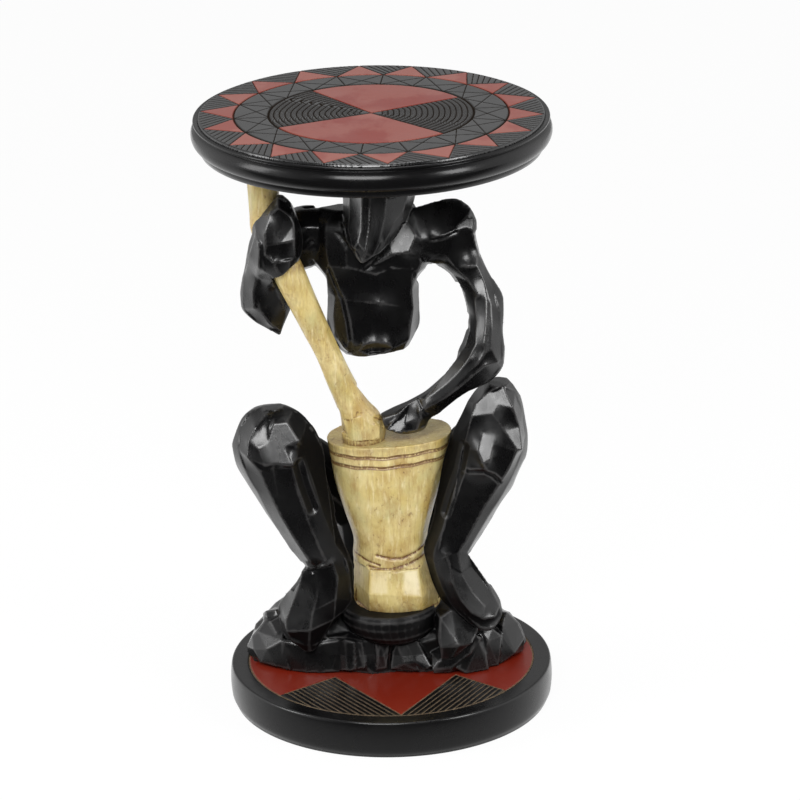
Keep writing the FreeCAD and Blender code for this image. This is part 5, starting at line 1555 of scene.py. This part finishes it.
def plainWood(name):
    n = Paint(name)
    grain = n.noise(90, 5, (3, 3, 0.4))
    colour = n.mix(n.span(grain, 0.35, 0.65), (0.50, 0.31, 0.14), (0.62, 0.42, 0.22))
    return n.finish(colour, n.span(grain, 0.3, 0.7, 0.5, 0.65), n.bump(grain, 0.2, 0.0003))


def zincSteel(name):
    n = Paint(name)
    spots = n.noise(300, 4)
    colour = n.mix(n.span(spots, 0.35, 0.65), (0.42, 0.42, 0.43), (0.52, 0.52, 0.50))
    return n.finish(colour, n.span(spots, 0.3, 0.7, 0.28, 0.42), n.bump(spots, 0.1, 0.0001), Metallic=1.0)


dowelWood = plainWood("dowelBeech")
screwSteel = zincSteel("screwZinc")
for name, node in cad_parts.items():
    if node.hide_render:  # shown by a piece above
        continue
    node.data.materials.clear()
    node.data.materials.append(screwSteel if "screw" in name else dowelWood)

# Camera at the photograph's place

camera = {"place": (0.01632, -3.4008, 1.5429), "pitch": 20.461, "roll": -0.913, "turn": 0.068, "lens": 189.54}


def addCamera():
    turn, pitch, roll = (math.radians(camera[key]) for key in ("turn", "pitch", "roll"))
    level = Vector((math.sin(turn), math.cos(turn), 0))
    ahead = level * math.cos(pitch) - Vector((0, 0, math.sin(pitch)))
    right = Vector((math.cos(turn), -math.sin(turn), 0))
    upward = right.cross(ahead)
    acrossAxis = right * math.cos(roll) + upward * math.sin(roll)
    upAxis = upward * math.cos(roll) - right * math.sin(roll)
    data = bpy.data.cameras.new("photoCamera")
    data.sensor_width = 36
    data.lens = camera["lens"]
    data.clip_end = 30
    eye = bpy.data.objects.new("photoCamera", data)
    turned = Matrix((acrossAxis, upAxis, -ahead)).transposed().to_4x4()
    eye.matrix_world = Matrix.Translation(Vector(camera["place"])) @ turned
    bpy.context.scene.collection.objects.link(eye)
    bpy.context.scene.camera = eye


addCamera()

# White studio: pale floor, soft boxes in front, at both sides and above, and a sky that is dim in front

studio = {
    "floorSize": 6.0, "front": 0.0, "back": 0.55, "sides": 1.1, "floorGlow": 1.1, "floorWhite": 0.95,
    # where each soft box stands, the height it looks at, its width, height and watts
    "boxes": {
        "softBoxKey": ((-0.20, -1.55, 1.40), 0.25, 0.9, 0.72, 28),
        "softBoxRight": ((1.35, -1.0, 1.15), 0.25, 0.5, 0.8, 14),
        "softBoxLeft": ((-1.6, -0.4, 1.0), 0.25, 0.5, 1.0, 12),
        "softBoxTop": ((0.0, 0.0, 2.0), 0.3, 1.0, 0.8, 14),
    },
}


def softBox(name, spot, aim, width, height, power):
    data = bpy.data.lights.new(name, "AREA")
    data.shape = "RECTANGLE"
    data.size = width
    data.size_y = height
    data.energy = power
    lamp = bpy.data.objects.new(name, data)
    lamp.location = spot
    direction = Vector((0, 0, aim)) - Vector(spot)
    lamp.rotation_euler = direction.to_track_quat("-Z", "Y").to_euler()
    bpy.context.scene.collection.objects.link(lamp)


for boxName, boxValues in studio["boxes"].items():
    softBox(boxName, *boxValues)


def mixShaders(n, share, first, second):
    return n.add("ShaderNodeMixShader", share, first, second).outputs["Shader"]


def addWorld():
    world = bpy.data.worlds.new("studio")
    bpy.context.scene.world = world
    world.use_nodes = True
    world.node_tree.nodes.clear()
    n = Nodes(world.node_tree)
    split = n.add("ShaderNodeSeparateXYZ", n.add("ShaderNodeTexCoord").outputs["Generated"]).outputs
    smooth = {"interpolation_type": "SMOOTHSTEP"}
    along = n.span(split["Y"], -0.65, 0.35, studio["front"], studio["back"], **smooth)
    sides = n.span(n.math("ABSOLUTE", split["X"], 0), 0.45, 0.95, 0, studio["sides"], **smooth)
    lit, white = n.add("ShaderNodeBackground"), n.add("ShaderNodeBackground")
    n.link(n.math("ADD", along, sides), lit.inputs["Strength"])
    path = n.add("ShaderNodeLightPath").outputs
    seen = n.math("MAXIMUM", path["Is Camera Ray"], path["Is Transmission Ray"])
    n.add("ShaderNodeOutputWorld", mixShaders(n, seen, lit.outputs["Background"], white.outputs["Background"]))


addWorld()


def addFloor():
    half = studio["floorSize"] / 2
    corners = [(-half, -half, 0), (half, -half, 0), (half, half, 0), (-half, half, 0)]
    floor = makeObject("studioFloor", corners, [(0, 1, 2, 3)])
    floor.location.z = -0.0002
    material = bpy.data.materials.new("studioFloorWhite")
    material.use_nodes = True
    n = Nodes(material.node_tree)
    ground = n.tree.nodes["Principled BSDF"]
    ground.inputs["Base Color"].default_value = (0.80, 0.80, 0.80, 1)
    ground.inputs["Roughness"].default_value = 0.9
    split = n.add("ShaderNodeSeparateXYZ", n.add("ShaderNodeTexCoord").outputs["Object"]).outputs
    mirrored, white = n.add("ShaderNodeEmission"), n.add("ShaderNodeEmission")
    glow = n.span(split["Y"], -0.40, 0.10, 0.02, studio["floorGlow"], interpolation_type="SMOOTHSTEP")
    n.link(glow, mirrored.inputs["Strength"])
    path = n.add("ShaderNodeLightPath").outputs
    glossy = n.math("MAXIMUM", path["Is Glossy Ray"], path["Is Transmission Ray"])
    seen = n.math("MULTIPLY", path["Is Camera Ray"], studio["floorWhite"])
    lower = mixShaders(n, glossy, ground.outputs["BSDF"], mirrored.outputs["Emission"])
    shown = mixShaders(n, seen, lower, white.outputs["Emission"])
    n.link(shown, n.tree.nodes["Material Output"].inputs["Surface"])
    floor.data.materials.append(material)


addFloor()
bpy.context.scene.view_settings.view_transform = "Standard"
